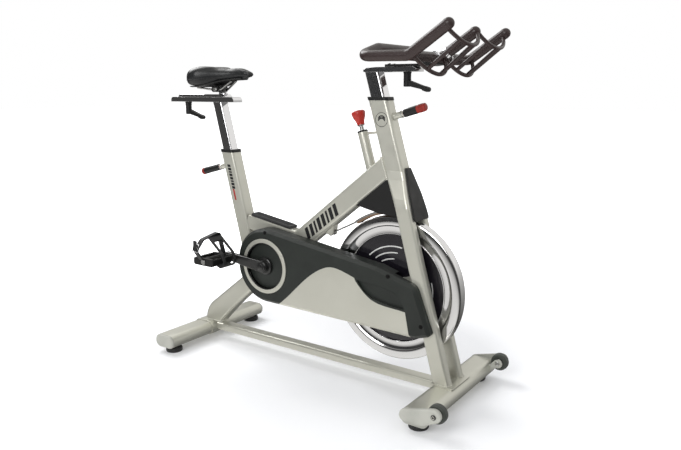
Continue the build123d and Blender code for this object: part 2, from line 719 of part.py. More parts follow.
def left_crank_arm():
    outer_y = ARM_INNER_Y + ARM_THICKNESS
    arm = slab(wrapped([(CRANK_X, CRANK_Z, 20), (LEFT_PEDAL_X, LEFT_PEDAL_Z, 14)]), ARM_INNER_Y, outer_y)
    arm = fillet(arm.faces().sort_by(Axis.Y)[-1].edges(), 4)
    boss = disc(CRANK_X, CRANK_Z, 37.5, ARM_INNER_Y, 18)
    axle_hole = rod((CRANK_X, 101, CRANK_Z), (CRANK_X, 0, CRANK_Z), CRANK_AXLE_RADIUS)
    spindle_hole = rod((LEFT_PEDAL_X, 101, LEFT_PEDAL_Z), (LEFT_PEDAL_X, 60, LEFT_PEDAL_Z), SPINDLE_RADIUS)
    return arm + boss - axle_hole - spindle_hole


def pedal_spindle(x, z, side):
    shaft = rod((x, side * ARM_INNER_Y, z), (x, side * (PEDAL_OUTER_Y + 2), z), SPINDLE_RADIUS)
    collar_start = side * (ARM_INNER_Y + ARM_THICKNESS)
    collar = rod((x, collar_start, z), (x, side * (PEDAL_INNER_Y - SLIDE_GAP), z), 8.5)
    return shaft + collar


def pedal(x, z, side):
    """An open platform: a barrel on the spindle, two end plates and two toothed bars."""
    inner, outer = side * PEDAL_INNER_Y, side * PEDAL_OUTER_Y
    y_low, y_high = min(inner, outer), max(inner, outer)
    half = PEDAL_LENGTH / 2
    plate = RectangleRounded(PEDAL_LENGTH, 26, 9)
    body = slab(plate, y_low, y_low + 9) + slab(plate, y_high - 9, y_high)
    body += slab(Circle(12), y_low, y_high)
    for bar_x in (-half + 5, half - 5):
        body += slab(Pos(bar_x, 0) * RectangleRounded(9, 22, 3), y_low, y_high)
    web = slab(RectangleRounded(PEDAL_LENGTH - 10, 8, 3), (y_low + y_high) / 2 - 6, (y_low + y_high) / 2 + 6)
    body = body + web - slab(Circle(SPINDLE_RADIUS + RUNNING_GAP), y_low - 1, y_high + 1)
    return Pos(x, 0, z) * body


STRAP_WIDTH = 18
STRAP_THICKNESS = 5
CAGE_WIDTH = 60


def toe_strap(side):
    """The strap over the foot, slack on its outer side."""
    corners = [(199.2, 9, 14.5), (226, 44, 14), (203, 66, 16), (142, 76, 17), (120.6, 9, 14)]
    outer = wrapped([(side * y, z, radius) for y, z, radius in corners])
    inner = wrapped([(side * y, z, radius - STRAP_THICKNESS) for y, z, radius in corners])
    middle = side * (PEDAL_INNER_Y + PEDAL_OUTER_Y) / 2
    above = block((-STRAP_WIDTH, STRAP_WIDTH), (middle - 100, middle + 100), (9, 120))
    return sheet(outer - inner, -STRAP_WIDTH / 2, STRAP_WIDTH / 2) & above


def toe_cage(side):
    """The springy frame in front of the foot: two bands joined below and above."""
    front = PEDAL_LENGTH / 2
    corners = [(front, -9), (front + 20, -17), (front + 36, 2), (front + 24, 32), (12, 81), (-10, 83)]
    path = FilletPolyline(*[(x, 0, z) for x, z in corners], radius=11)
    plane = Plane(origin=path @ 0, x_dir=(0, 1, 0), z_dir=path % 0)
    band = sweep(plane * Rectangle(CAGE_WIDTH, 3.5), path=path)
    window = block((26, 200), (-CAGE_WIDTH / 2 + 10, CAGE_WIDTH / 2 - 10), (-6, 120))
    return Pos(0, side * (PEDAL_INNER_Y + PEDAL_OUTER_Y) / 2, 0) * (band - window)


def toe_clip(x, z, side):
    strap = toe_strap(side)
    return Pos(x, 0, z) * (strap + (toe_cage(side) - strap))


def upside_down(piece, x, z):
    """The piece swung half a turn about its pedal's spindle."""
    return Pos(x, 0, z) * Rot(0, 180, 0) * Pos(-x, 0, -z) * piece


# ---------------------------------------------------------------- saddle


def seat_post():
    low = point_on(SEAT_TUBE_TOP, SEAT_LEAN, -190)
    high = point_on(SEAT_TUBE_TOP, SEAT_LEAN, 250)
    post = box_tube(low, high, SEAT_POST_WIDTH, SEAT_POST_DEPTH, 5, WALL)
    return post & block((-1100, -700), (-60, 60), (0, SEAT_RAIL_BOTTOM))


SEAT_RAIL_X = (-1170.5, -851)
SEAT_RAIL_TOP = SEAT_RAIL_BOTTOM + 17
CARRIAGE_X = (-1128, -900)
CARRIAGE_TOP = SEAT_RAIL_TOP + 10
STUB_TOP = 944
RAIL_WIDTH = 44


def seat_rail():
    """The long flat rail welded on the seat post, slotted for the carriage's clamp bolt."""
    rail = block(SEAT_RAIL_X, (-RAIL_WIDTH / 2, RAIL_WIDTH / 2), (SEAT_RAIL_BOTTOM, SEAT_RAIL_TOP))
    rail = fillet(rail.edges().filter_by(Axis.Y).group_by(Axis.Z)[-1], 11)
    return rail - layer(Pos(-1081, 0) * SlotOverall(156, 12), SEAT_RAIL_BOTTOM, SEAT_RAIL_TOP)


def seat_carriage():
    """The cap that slides along the rail and carries the saddle's stub."""
    z_low = SEAT_RAIL_TOP + SLIDE_GAP
    cap = block(CARRIAGE_X, (-RAIL_WIDTH / 2 - 2, RAIL_WIDTH / 2 + 2), (z_low, CARRIAGE_TOP))
    cap = chamfer(cap.edges().filter_by(Axis.Y).group_by(Axis.Z)[-1], 8)
    cap = fillet(cap.edges().filter_by(Axis.X).group_by(Axis.Z)[-1], 3)
    stub = rod((STUB_X, 0, CARRIAGE_TOP - 5), (STUB_X, 0, STUB_TOP), 11)
    bolt = rod((SEAT_LEVER_X, 0, SEAT_RAIL_BOTTOM - 8), (SEAT_LEVER_X, 0, CARRIAGE_TOP - 4), 5)
    return cap + stub + bolt


def clamp_lever(x, top, length, reach, drop):
    """A ratchet lever hanging on its clamp bolt: a barrel and a drooping arm with a thick end."""
    low = top - length
    barrel = rod((x, 0, low), (x, 0, top), 11)
    barrel = fillet(barrel.faces().sort_by(Axis.Z)[0].edges(), 3)
    root_z, tip_z = low + 12, low + 12 - drop
    arm = slab(wrapped([(x, root_z, 8.5), (x + reach - 10, tip_z + 4, 5)]), -7.5, 7.5)
    end = slab(wrapped([(x + reach - 10, tip_z + 3, 7), (x + reach, tip_z, 7)]), -9, 9)
    lever = arm + fillet([edge for edge in end.edges() if edge.geom_type == GeomType.CIRCLE], 2)
    return barrel + lever - rod((x, 0, top - 10), (x, 0, top + 1), 5 + SLIDE_GAP)


def seat_lever():
    return clamp_lever(SEAT_LEVER_X, SEAT_RAIL_BOTTOM - SLIDE_GAP, 46, 72, 22)


CLAMP_Z = 938
RAIL_Y = 18


def saddle_clamp():
    """The clamp head on the stub, holding the two saddle rails."""
    body = slab(wrapped([(STUB_X - 18, CLAMP_Z, 10), (STUB_X - 3, CLAMP_Z, 10)]), -24, 24)
    body += rod((STUB_X, 0, CLAMP_Z - 10), (STUB_X, 0, CLAMP_Z + 9), 14)
    rails = saddle_rail(-1) + saddle_rail(1)
    return body - rod((STUB_X, 0, 900), (STUB_X, 0, STUB_TOP), 11) - rails


def saddle_rail(side):
    path = FilletPolyline(
        (-1004, side * 44, 944),
        (-958, side * RAIL_Y, CLAMP_Z - 1),
        (-914, side * RAIL_Y, CLAMP_Z - 1),
        (-866, side * 11, 966),
        radius=9,
    )
    return bent_round(path, 3.5)


def saddle_rails():
    return [saddle_rail(-1), saddle_rail(1)]


def saddle_section(x, width, z_low, z_high, corner):
    height = z_high - z_low
    plane = Plane(origin=(x, 0, (z_low + z_high) / 2), x_dir=(0, 1, 0), z_dir=(1, 0, 0))
    return plane * RectangleRounded(width, height, corner)


SADDLE_SECTIONS = [  # place, width, underside, top, corner radius
    (-1036, 112, 957, 989, 14),
    (-1022, 166, 950, 1003, 23),
    (-988, 196, 949, 1012, 27),
    (-946, 172, 955, 1013, 25),
    (-905, 112, 966, 1007, 17),
    (-860, 68, 972, 1006, 15),
    (-815, 50, 974, 1005, 13),
    (-776, 30, 976, 995, 8),
]


def saddle_pad():
    """The padded saddle, as a plain closed form."""
    return loft([saddle_section(*values) for values in SADDLE_SECTIONS])


def saddle_shell():
    """The stiff base that shows a little below the padding."""
    levels = [
        saddle_section(x, 0.78 * width, underside - 4, underside + 14, 6)
        for x, width, underside, top, corner in SADDLE_SECTIONS[1:-1]
    ]
    return loft(levels) - (saddle_rail(-1) + saddle_rail(1)) - saddle_pad_space()


def saddle_pad_space():
    return Pos(0, 0, -SLIDE_GAP) * saddle_pad() + saddle_pad()


def spring_pin(point, tip, face, sleeve, grip, grip_radius):
    """A pull pin: a thin pin through the barrel, a sleeve outside it and a grip to pull."""
    pin = rod(point(tip), point(face + 4), PIN_BORE - SLIDE_GAP)
    body = rod(point(face), point(face + sleeve), grip_radius - 1.5)
    handle = rod(point(face + sleeve), point(face + sleeve + grip), grip_radius)
    return pin + body + fillet(handle.edges().filter_by(GeomType.CIRCLE), 4)


def seat_pin():
    face = SEAT_TUBE_DEPTH / 2 + SEAT_BARREL + SLIDE_GAP
    tip = SEAT_POST_DEPTH / 2 + 0.8
    return spring_pin(lambda distance: behind_seat(SEAT_PIN, distance), tip, face, 48, 48, 11.5)


def head_pin():
    face = HEAD_TUBE_DEPTH / 2 + HEAD_BARREL + SLIDE_GAP
    tip = HEAD_POST_DEPTH / 2 + 0.8
    return spring_pin(lambda distance: across_head(HEAD_PIN, distance), tip, face, 34, 42, 12)


# ---------------------------------------------------------------- handlebar


def head_post():
    low = point_on(HEAD_TUBE_TOP, HEAD_LEAN, -165)
    high = point_on(HEAD_TUBE_TOP, HEAD_LEAN, 160)
    post = box_tube(low, high, HEAD_POST_WIDTH, HEAD_POST_DEPTH, 6, WALL)
    return post & block((-500, 0), (-60, 60), (0, BAR_RAIL_BOTTOM))


BAR_RAIL_TOP = BAR_RAIL_BOTTOM + 14


def bar_rail():
    """The chromed top plate of the head post: flat in front, curved down behind."""
    top = BAR_RAIL_TOP
    rear = [(-306, BAR_RAIL_BOTTOM), (-309, top - 8), (-296, top - 2), (-262, top)]
    front = [(-140, top), (-130, top - 5), (-130, BAR_RAIL_BOTTOM)]
    rail = slab(make_face(Polyline(*rear, *front, close=True)), -26, 26)
    slot = layer(Pos(BAR_LEVER_X - 14, 0) * SlotOverall(52, 12), 0, 1100)
    return rail - slot


STEM_X = -90
STEM_Z = 1018


def bar_carriage():
    """The block that slides on the top plate and holds the handlebar's cross tube."""
    z_low = BAR_RAIL_TOP + SLIDE_GAP
    base = block((-236, -84), (-24, 24), (z_low, z_low + 7))
    base = fillet(base.edges().filter_by(Axis.Z), 6)
    clamp = slab(wrapped([(STEM_X, STEM_Z, 15.5), (STEM_X + 18, STEM_Z + 2, 15.5)]), -34, 34)
    bolt = rod((BAR_LEVER_X, 0, BAR_RAIL_BOTTOM - 8), (BAR_LEVER_X, 0, z_low + 3), 5)
    return base + clamp + bolt - handlebar_space() - bar_rail_space()


def bar_rail_space():
    bolt = rod((BAR_LEVER_X, 0, 900), (BAR_LEVER_X, 0, 1100), 5)
    return block((-320, -60), (-27, 27), (BAR_RAIL_BOTTOM, BAR_RAIL_TOP + SLIDE_GAP)) - bolt


def handlebar_space():
    cross_tube = rod((BAR_BEND_X, -60, BAR_Z), (BAR_BEND_X, 60, BAR_Z), GRIP_RADIUS)
    return cross_tube + rod((BAR_BEND_X, 0, BAR_Z), (HORN_TIP[0], 0, HORN_TIP[1]), GRIP_RADIUS)


def bar_lever():
    return clamp_lever(BAR_LEVER_X, BAR_RAIL_BOTTOM - SLIDE_GAP, 43, 68, 20)


def horn_tip(y, shorter=0):
    rise = (HORN_TIP[1] - BAR_Z) / (HORN_TIP[0] - BAR_BEND_X)
    return (HORN_TIP[0] - shorter, y, HORN_TIP[1] - rise * shorter)


def handlebar():
    """One bent bar with two horns and an arched rear, a cross tube and a middle horn."""
    arch = [(BAR_REAR_X - 4, -92, BAR_Z + 27), (BAR_REAR_X - 4, 92, BAR_Z + 27)]
    path = FilletPolyline(
        horn_tip(-GRIP_Y),
        (BAR_BEND_X, -GRIP_Y, BAR_Z),
        (BAR_REAR_X, -GRIP_Y, BAR_Z + 2),
        *arch,
        (BAR_REAR_X, GRIP_Y, BAR_Z + 2),
        (BAR_BEND_X, GRIP_Y, BAR_Z),
        horn_tip(GRIP_Y),
        radius=34,
    )
    bar = bent_round(path, GRIP_RADIUS)
    bar += rod((BAR_BEND_X, -GRIP_Y, BAR_Z), (BAR_BEND_X, GRIP_Y, BAR_Z), GRIP_RADIUS - 1)
    bar += rod((BAR_BEND_X, 0, BAR_Z), horn_tip(0, 12), GRIP_RADIUS)
    for tip in (horn_tip(-GRIP_Y), horn_tip(GRIP_Y), horn_tip(0, 12)):
        bar += Pos(*tip) * Sphere(GRIP_RADIUS)
    return bar


def cage_hoop(reach, depth):
    """Points along a wire hoop that hangs between the right horn and the middle one."""
    angle = atan2(HORN_TIP[1] - BAR_Z, HORN_TIP[0] - BAR_BEND_X)
    top_x, top_z = BAR_BEND_X + reach * cos(angle), BAR_Z + reach * sin(angle)
    hang = [(3 - GRIP_Y, 0), (-142, 0.76), (-84, 1), (-34, 0.74), (-3, 0)]
    return [(top_x + sin(angle) * depth * fall, y, top_z - cos(angle) * depth * fall) for y, fall in hang]


def bottle_cage():
    """Two hoops joined by three long wires: a cradle for a bottle."""
    low, high = cage_hoop(8, 62), cage_hoop(124, 50)
    cage = bent_round(Spline(*low), WIRE_RADIUS) + bent_round(Spline(*high), WIRE_RADIUS)
    for index in (1, 2, 3):
        cage += rod(low[index], high[index], WIRE_RADIUS)
        cage += Pos(*low[index]) * Sphere(WIRE_RADIUS)
    return cage


# ---------------------------------------------------------------- brake


TUBE_END = 251  # along the brake rod, from its lower end


def resistance_tube():
    """The guide tube of the brake rod, standing on the down tube, with its bracket to the head tube."""
    outer = rod(brake_line(68), brake_line(TUBE_END), 16)
    bracket = rod(brake_line(TUBE_END - 8), (-250, 0, 811), 4)
    tube = outer + bracket - head_tube_body() - down_tube_body()
    tube = tube.solids().sort_by(SortBy.VOLUME)[-1]
    return tube - rod(brake_line(0), brake_line(TUBE_END + 10), 8)


ROD_RADIUS = 6.5
KNOB_START = 271
KNOB_HOLE = 16


def brake_rod():
    shaft = rod(brake_line(0), brake_line(KNOB_START + KNOB_HOLE - SLIDE_GAP), ROD_RADIUS)
    return shaft + rod(brake_line(0), brake_line(5), 9)


def resistance_knob():
    """The red knob, narrow below and domed on top."""
    stem = loft([Pos(0, 0, z) * Circle(radius) for z, radius in ((0, 12), (8, 12.5), (20, 17), (34, 21))])
    dome = Pos(0, 0, 34) * Cylinder(21, 11, align=(Align.CENTER, Align.CENTER, Align.MIN))
    dome = fillet(dome.edges().sort_by(Axis.Z)[-1], 7)
    hole = Cylinder(ROD_RADIUS + RUNNING_GAP, KNOB_HOLE, align=(Align.CENTER, Align.CENTER, Align.MIN))
    return Pos(*brake_line(KNOB_START)) * Rot(0, -HEAD_LEAN, 0) * (stem + dome - hole)


PIVOT = (-440, 474)
PAD_GAP = 5
PAD_THICKNESS = 6


def rim_point(angle, clearance):
    radius = FLYWHEEL_RADIUS + clearance
    return (WHEEL_X + radius * cos(radians(angle)), WHEEL_Z + radius * sin(radians(angle)))


def rim_band(angle_low, angle_high, inner, outer):
    """A strip that follows the rim, between two clearances."""
    middle = (angle_low + angle_high) / 2
    return make_face(
        ThreePointArc(rim_point(angle_low, inner), rim_point(middle, inner), rim_point(angle_high, inner))
        + Polyline(rim_point(angle_high, inner), rim_point(angle_high, outer))
        + ThreePointArc(rim_point(angle_high, outer), rim_point(middle, outer), rim_point(angle_low, outer))
        + Polyline(rim_point(angle_low, outer), rim_point(angle_low, inner))
    )


PAD_ANGLES = (88, 127)


def brake_arm():
    """The arm over the rim: a curved backing and a thin tail back to its pivot on the down tube."""
    inner = PAD_GAP + PAD_THICKNESS
    backing = slab(rim_band(*PAD_ANGLES, inner, inner + 6), -15, 15)
    end = rim_point(PAD_ANGLES[1], inner + 3)
    tail = rod((end[0] + 6, 0, end[1] + 3), (PIVOT[0], 0, PIVOT[1]), 2.8)
    eye = rod((PIVOT[0], -6, PIVOT[1]), (PIVOT[0], 6, PIVOT[1]), 8)
    arm = backing + (tail - slab(rim_band(*PAD_ANGLES, 0, inner), -20, 20)) + eye
    return arm - rod((PIVOT[0], -9, PIVOT[1]), (PIVOT[0], 9, PIVOT[1]), 4 + RUNNING_GAP)


def brake_pad():
    return slab(rim_band(PAD_ANGLES[0] + 1, PAD_ANGLES[1] - 1, PAD_GAP, PAD_GAP + PAD_THICKNESS), -14, 14)


def brake_mount():
    """The forked lug under the down tube that holds the brake arm's pivot pin."""
    arms = [(PIVOT[0], PIVOT[1], 9), (PIVOT[0] - 30, PIVOT[1] + 14, 9), (PIVOT[0] + 4, PIVOT[1] + 36, 9)]
    lug = slab(wrapped(arms), -13, 13)
    lug -= block((PIVOT[0] - 60, PIVOT[0] + 60), (-6.5, 6.5), (PIVOT[1] - 60, PIVOT[1] + 12))
    return lug - down_tube_body() + rod((PIVOT[0], -13, PIVOT[1]), (PIVOT[0], 13, PIVOT[1]), 4)


# ---------------------------------------------------------------- all sub-parts


def build_all():
    os.makedirs("parts", exist_ok=True)
    write("front_bar", floor_bar(FRONT_BAR_X, FLOOR_BAR_REACH))
    write("rear_bar", floor_bar(REAR_BAR_X, REAR_BAR_REACH))
    write("rear_end_caps", rear_end_cap(), mirrored(rear_end_cap()))
    write("front_end_caps", front_end_cap(), mirrored(front_end_cap()))
    screws = [guard_screw(x, z) for x, z in GUARD_SCREWS]
    write("screws", wheel_bolt(), mirrored(wheel_bolt()), *screws)
    write("transport_wheel_right", transport_wheel())
    write("transport_wheel_left", mirrored(transport_wheel()))
    feet = [rubber_foot(x, side * y) for x, y in (FRONT_FOOT, REAR_FOOT) for side in (-1, 1)]
    write("rubber_feet", *feet)
    write("floor_plates", fork_base_plate(), rear_strap())
    write("base_tube", base_tube())
    write("fork_legs", hollow_leg(), mirrored(hollow_leg()))
    write("head_tube", head_tube())
    write("seat_tube", seat_tube())
    write("down_tube", down_tube())
    write("rear_strut", rear_strut())
    write("bottom_bracket_shell", bottom_bracket_shell())
    write("gusset_tube", gusset_tube())
    write("step_pad", step_pad())
    write("post_sleeves", head_sleeve(), seat_sleeve())
    write("fork_covers", fork_front_cover(), fork_rear_cover())
    write("axle_brackets", axle_bracket(), mirrored(axle_bracket()))
    bearings = [axle_bearing(), crank_bearing()]
    write("bearings", *bearings, *[mirrored(bearing) for bearing in bearings])
    write("guard_cover", guard_cover())
    write("guard_panel", guard_panel())
    write("guard_ring", guard_ring())
    write("guard_back", guard_back())
    write("drive_chain", *drive_chain())
    write("flywheel_rim", flywheel_rim())
    write("flywheel_disc", flywheel_disc())
    write("flywheel_hub", flywheel_hub())
    write("flywheel_axle", flywheel_axle())
    write("flywheel_sprocket", sprocket())
    write("crank_axle", crank_axle())
    write("chainring", chainring())
    write("crank_arm_right", crank_arm())
    write("crank_arm_left", left_crank_arm())
    write("pedal_spindles", pedal_spindle(PEDAL_X, PEDAL_Z, -1), pedal_spindle(LEFT_PEDAL_X, LEFT_PEDAL_Z, 1))
    write("pedal_right", pedal(PEDAL_X, PEDAL_Z, -1))
    write("pedal_left", pedal(LEFT_PEDAL_X, LEFT_PEDAL_Z, 1))
    write("toe_clip_right", toe_clip(PEDAL_X, PEDAL_Z, -1))
    left_clip = toe_clip(LEFT_PEDAL_X, LEFT_PEDAL_Z, 1)
    write("toe_clip_left", upside_down(left_clip, LEFT_PEDAL_X, LEFT_PEDAL_Z))
    write("seat_post", seat_post(), seat_rail())
    write("seat_carriage", seat_carriage())
    write("seat_lever", seat_lever())
    write("seat_pin", seat_pin())
    write("saddle_clamp", saddle_clamp())
    write("saddle_rails", *saddle_rails())
    write("saddle_shell", saddle_shell())
    write("saddle_pad", saddle_pad())
    write("head_post", head_post(), bar_rail())
    write("bar_carriage", bar_carriage())
    write("bar_lever", bar_lever())
    write("head_pin", head_pin())
    bar = handlebar()
    write("handlebar", bar)
    right_cage = bottle_cage() - bar
    write("bottle_cages", right_cage, mirrored(right_cage))
    write("resistance_tube", resistance_tube(), brake_mount())
    write("resistance_knob", resistance_knob())
    write("brake_rod", brake_rod())
    write("brake_arm", brake_arm())
    write("brake_pad", brake_pad())


build_all()
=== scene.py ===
"""Looks for the exercise bike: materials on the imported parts, and detail pieces that ride on them."""

import json
from math import atan2, cos, pi, radians, sin

import bmesh
import bpy
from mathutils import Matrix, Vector
from mathutils.bvhtree import BVHTree


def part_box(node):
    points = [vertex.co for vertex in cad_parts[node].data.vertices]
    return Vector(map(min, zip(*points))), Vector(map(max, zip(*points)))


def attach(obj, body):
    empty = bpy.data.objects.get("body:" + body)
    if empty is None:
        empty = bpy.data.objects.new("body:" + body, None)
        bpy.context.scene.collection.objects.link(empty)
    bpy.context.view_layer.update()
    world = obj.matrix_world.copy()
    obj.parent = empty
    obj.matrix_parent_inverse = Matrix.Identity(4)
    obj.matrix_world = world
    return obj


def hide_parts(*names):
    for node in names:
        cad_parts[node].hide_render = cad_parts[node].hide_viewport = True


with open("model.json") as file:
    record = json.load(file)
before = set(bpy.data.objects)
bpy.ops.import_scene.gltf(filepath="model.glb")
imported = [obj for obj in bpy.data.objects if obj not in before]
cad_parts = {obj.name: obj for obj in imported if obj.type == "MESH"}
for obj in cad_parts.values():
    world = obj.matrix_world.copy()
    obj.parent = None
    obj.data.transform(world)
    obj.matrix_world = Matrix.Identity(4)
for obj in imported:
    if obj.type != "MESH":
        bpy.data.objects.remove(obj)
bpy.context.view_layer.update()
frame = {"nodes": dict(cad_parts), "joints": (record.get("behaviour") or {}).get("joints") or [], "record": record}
nodes = frame["nodes"]
joints = {joint["name"]: joint for joint in frame["joints"]}

# ---------------------------------------------------------------- materials


def material(name, colour, roughness, metallic=0.0, **sockets):
    """A new Principled material; sockets are further constant inputs, named with underscores."""
    made = bpy.data.materials.new(name)
    made.use_nodes = True
    shader = made.node_tree.nodes["Principled BSDF"]
    shader.inputs["Base Color"].default_value = (*colour, 1)
    shader.inputs["Roughness"].default_value = roughness
    shader.inputs["Metallic"].default_value = metallic
    for socket, value in sockets.items():
        shader.inputs[socket.replace("_", " ")].default_value = value
    return made


def shader_of(made):
    return made.node_tree.nodes["Principled BSDF"]


def add_node(made, kind, **values):
    """A new node; values named in_X set its inputs, the others set its properties."""
    node = made.node_tree.nodes.new(kind)
    for key, value in values.items():
        if key.startswith("in_"):
            node.inputs[key[3:].replace("_", " ")].default_value = value
        else:
            setattr(node, key, value)
    return node


def link(made, source, target):
    made.node_tree.links.new(source, target)


def place(made):
    """Coordinates in metres that stay with the object."""
    return add_node(made, "ShaderNodeTexCoord").outputs["Object"]


def noise(made, scale, detail):
    texture = add_node(made, "ShaderNodeTexNoise", in_Scale=scale, in_Detail=detail)
    link(made, place(made), texture.inputs["Vector"])
    return texture.outputs["Fac"]


def spread(made, value, low, high, source=(0.3, 0.7)):
    """The value carried from one range to another."""
    node = add_node(made, "ShaderNodeMapRange")
    for index, number in enumerate((*source, low, high), 1):
        node.inputs[index].default_value = number
    link(made, value, node.inputs["Value"])
    return node.outputs["Result"]


def mottle(made, first, second, scale):
    """Colour that drifts between two tones."""
    mix = add_node(made, "ShaderNodeMix", data_type="RGBA")
    mix.inputs[6].default_value = (*first, 1)
    mix.inputs[7].default_value = (*second, 1)
    link(made, spread(made, noise(made, scale, 4), 0, 1), mix.inputs["Factor"])
    link(made, mix.outputs[2], shader_of(made).inputs["Base Color"])


def uneven_gloss(made, low, high, scale):
    """Roughness that drifts between two values."""
    link(made, spread(made, noise(made, scale, 4), low, high), shader_of(made).inputs["Roughness"])


def grain(made, height, strength, depth, edge=0.0):
    """A bump from a height value, over edges rounded by a small radius."""
    bump = add_node(made, "ShaderNodeBump", in_Strength=strength, in_Distance=depth)
    link(made, height, bump.inputs["Height"])
    if edge:
        bevel = add_node(made, "ShaderNodeBevel", samples=4, in_Radius=edge)
        link(made, bevel.outputs["Normal"], bump.inputs["Normal"])
    link(made, bump.outputs["Normal"], shader_of(made).inputs["Normal"])


def silver_paint(name):
    """Warm silver lacquer with fine metal flake."""
    light, dark = (0.60, 0.595, 0.525), (0.55, 0.545, 0.475)
    made = material(name, light, 0.34, 0.62, Coat_Weight=0.3, Coat_Roughness=0.15)
    mottle(made, light, dark, 6)
    uneven_gloss(made, 0.28, 0.38, 40)
    grain(made, noise(made, 2600, 2), 0.10, 0.0004, edge=0.0015)
    return made


def moulded(name, colour, roughness, scale=900, strength=0.25, coat=0.0):
    """Moulded plastic with a fine texture."""
    made = material(name, colour, roughness, Coat_Weight=coat, Coat_Roughness=0.2, Specular_IOR_Level=0.35)
    mottle(made, colour, [part * 0.8 for part in colour], 15)
    uneven_gloss(made, roughness - 0.05, roughness + 0.08, 30)
    grain(made, noise(made, scale, 4), strength, 0.0003, edge=0.0012)
    return made


def rubber(name, colour, roughness=0.75):
    made = material(name, colour, roughness, Sheen_Weight=0.15, Sheen_Roughness=0.5)
    mottle(made, colour, [part * 1.6 for part in colour], 30)
    uneven_gloss(made, roughness - 0.1, roughness + 0.1, 60)
    grain(made, noise(made, 700, 6), 0.35, 0.0004, edge=0.001)
    return made


def chromed(name, colour=(0.82, 0.82, 0.84), roughness=0.06):
    made = material(name, colour, roughness, 1.0)
    uneven_gloss(made, roughness * 0.7, roughness * 1.6, 12)
    grain(made, noise(made, 9, 2), 0.05, 0.0008, edge=0.0008)
    return made


def machined(name, colour, roughness):
    """Steel with fine tool marks."""
    made = material(name, colour, roughness, 1.0)
    mottle(made, colour, [part * 0.8 for part in colour], 25)
    uneven_gloss(made, roughness - 0.08, roughness + 0.12, 90)
    grain(made, noise(made, 500, 3), 0.15, 0.0003, edge=0.0006)
    return made


def lacquered(name, colour, roughness):
    """Black lacquer over metal."""
    made = material(name, colour, roughness, 0.2, Coat_Weight=0.5, Coat_Roughness=0.12)
    mottle(made, colour, [part * 1.5 + 0.003 for part in colour], 20)
    uneven_gloss(made, roughness - 0.06, roughness + 0.08, 50)
    grain(made, noise(made, 800, 3), 0.08, 0.0003, edge=0.0012)
    return made


def leather(name, colour, roughness):
    """Glossy leathercloth with a pebbled grain."""
    made = material(name, colour, roughness, Coat_Weight=0.1, Coat_Roughness=0.3, Specular_IOR_Level=0.4)
    mottle(made, colour, [part * 1.7 for part in colour], 25)
    uneven_gloss(made, roughness - 0.05, roughness + 0.1, 40)
    pebbles = add_node(made, "ShaderNodeTexVoronoi", in_Scale=650.0)
    link(made, place(made), pebbles.inputs["Vector"])
    grain(made, pebbles.outputs["Distance"], 0.06, 0.0002)
    return made


BLACK = (0.010, 0.010, 0.010)
paint = silver_paint("silver_paint")
guard_plastic = moulded("guard_plastic", (0.019, 0.0225, 0.0195), 0.42)
black_plastic = moulded("black_plastic", BLACK, 0.42)
black_rubber = rubber("black_rubber", (0.014, 0.014, 0.014))
tyre_rubber = rubber("tyre_rubber", (0.030, 0.034, 0.028), 0.6)
chrome = chromed("chrome")
rim_chrome = chromed("rim_chrome", (0.78, 0.78, 0.79), 0.08)
disc_lacquer = lacquered("disc_lacquer", (0.007, 0.006, 0.009), 0.16)
black_metal = lacquered("black_metal", BLACK, 0.3)
# painted shade: a near-black far darker than any real plastic here, standing in for the shade inside the guard's
# screw recesses
painted_recess_shade = moulded("painted_recess_shade", (0.0012, 0.0012, 0.0012), 0.85)
steel = machined("steel", (0.55, 0.55, 0.54), 0.3)
chain_steel = machined("chain_steel", (0.28, 0.26, 0.23), 0.35)
bar_vinyl = moulded("bar_vinyl", (0.030, 0.0185, 0.0175), 0.36, 900, 0.05, coat=0.15)
knob_red = moulded("knob_red", (0.34, 0.017, 0.009), 0.3, 300, 0.06, coat=0.3)
grip_red = moulded("grip_red", (0.25, 0.017, 0.010), 0.4, 500, 0.1)
felt = moulded("felt", (0.17, 0.11, 0.07), 0.9, 400, 0.8)
saddle_leather = leather("saddle_leather", (0.007, 0.0075, 0.008), 0.36)
thread = moulded("thread", (0.05, 0.05, 0.052), 0.6, 1500)
strap_nylon = moulded("strap_nylon", (0.020, 0.020, 0.021), 0.5, 1200, 0.4)
print_black = moulded("print_black", (0.012, 0.012, 0.013), 0.35, 900, 0.05)
print_white = moulded("print_white", (0.62, 0.62, 0.60), 0.4, 900, 0.05)
cap_plastic = moulded("cap_plastic", (0.47, 0.47, 0.42), 0.5, 900, 0.12)

FINISHES = {
    "frame_paint": paint,
    "guard_plastic": guard_plastic,
    "panel_metal": paint,
    "black_plastic": black_plastic,
    "collar_plastic": black_plastic,
    "rubber": black_rubber,
    "wheel_rubber": tyre_rubber,
    "chrome": chrome,
    "rim_chrome": rim_chrome,
    "disc_paint": disc_lacquer,
    "steel": steel,
    "chain_steel": chain_steel,
    "black_metal": black_metal,
    "bar_coating": bar_vinyl,
    "cage_coating": bar_vinyl,
    "saddle_vinyl": saddle_leather,
    "knob_red": knob_red,
    "pin_grip": grip_red,
    "brake_felt": felt,
    "strap_webbing": strap_nylon,
    "cap_plastic": cap_plastic,
}

for part in frame["record"]["subparts"]:
    finish = FINISHES[part["material_slot"]]
    node = nodes[part["node"]]
    for slot in node.material_slots:
        slot.material = finish
    if not node.material_slots:
        node.data.materials.append(finish)
for slot in nodes["screws"].material_slots:
    slot.material = black_metal

# ---------------------------------------------------------------- making pieces

MM = 0.001
FRONT_FEET_X = 0.5365
RIGHT, LEFT = Vector((0, -1, 0)), Vector((0, 1, 0))
ACROSS = {"right": RIGHT, "left": LEFT}
FORWARD = Vector((1, 0, 0))
UP, DOWN = Vector((0, 0, 1)), Vector((0, 0, -1))


def at(x, y, z):
    """A point as part.py gives it: millimetres, with X measured from the front feet."""
    return Vector((x * MM + FRONT_FEET_X, y * MM, z * MM))


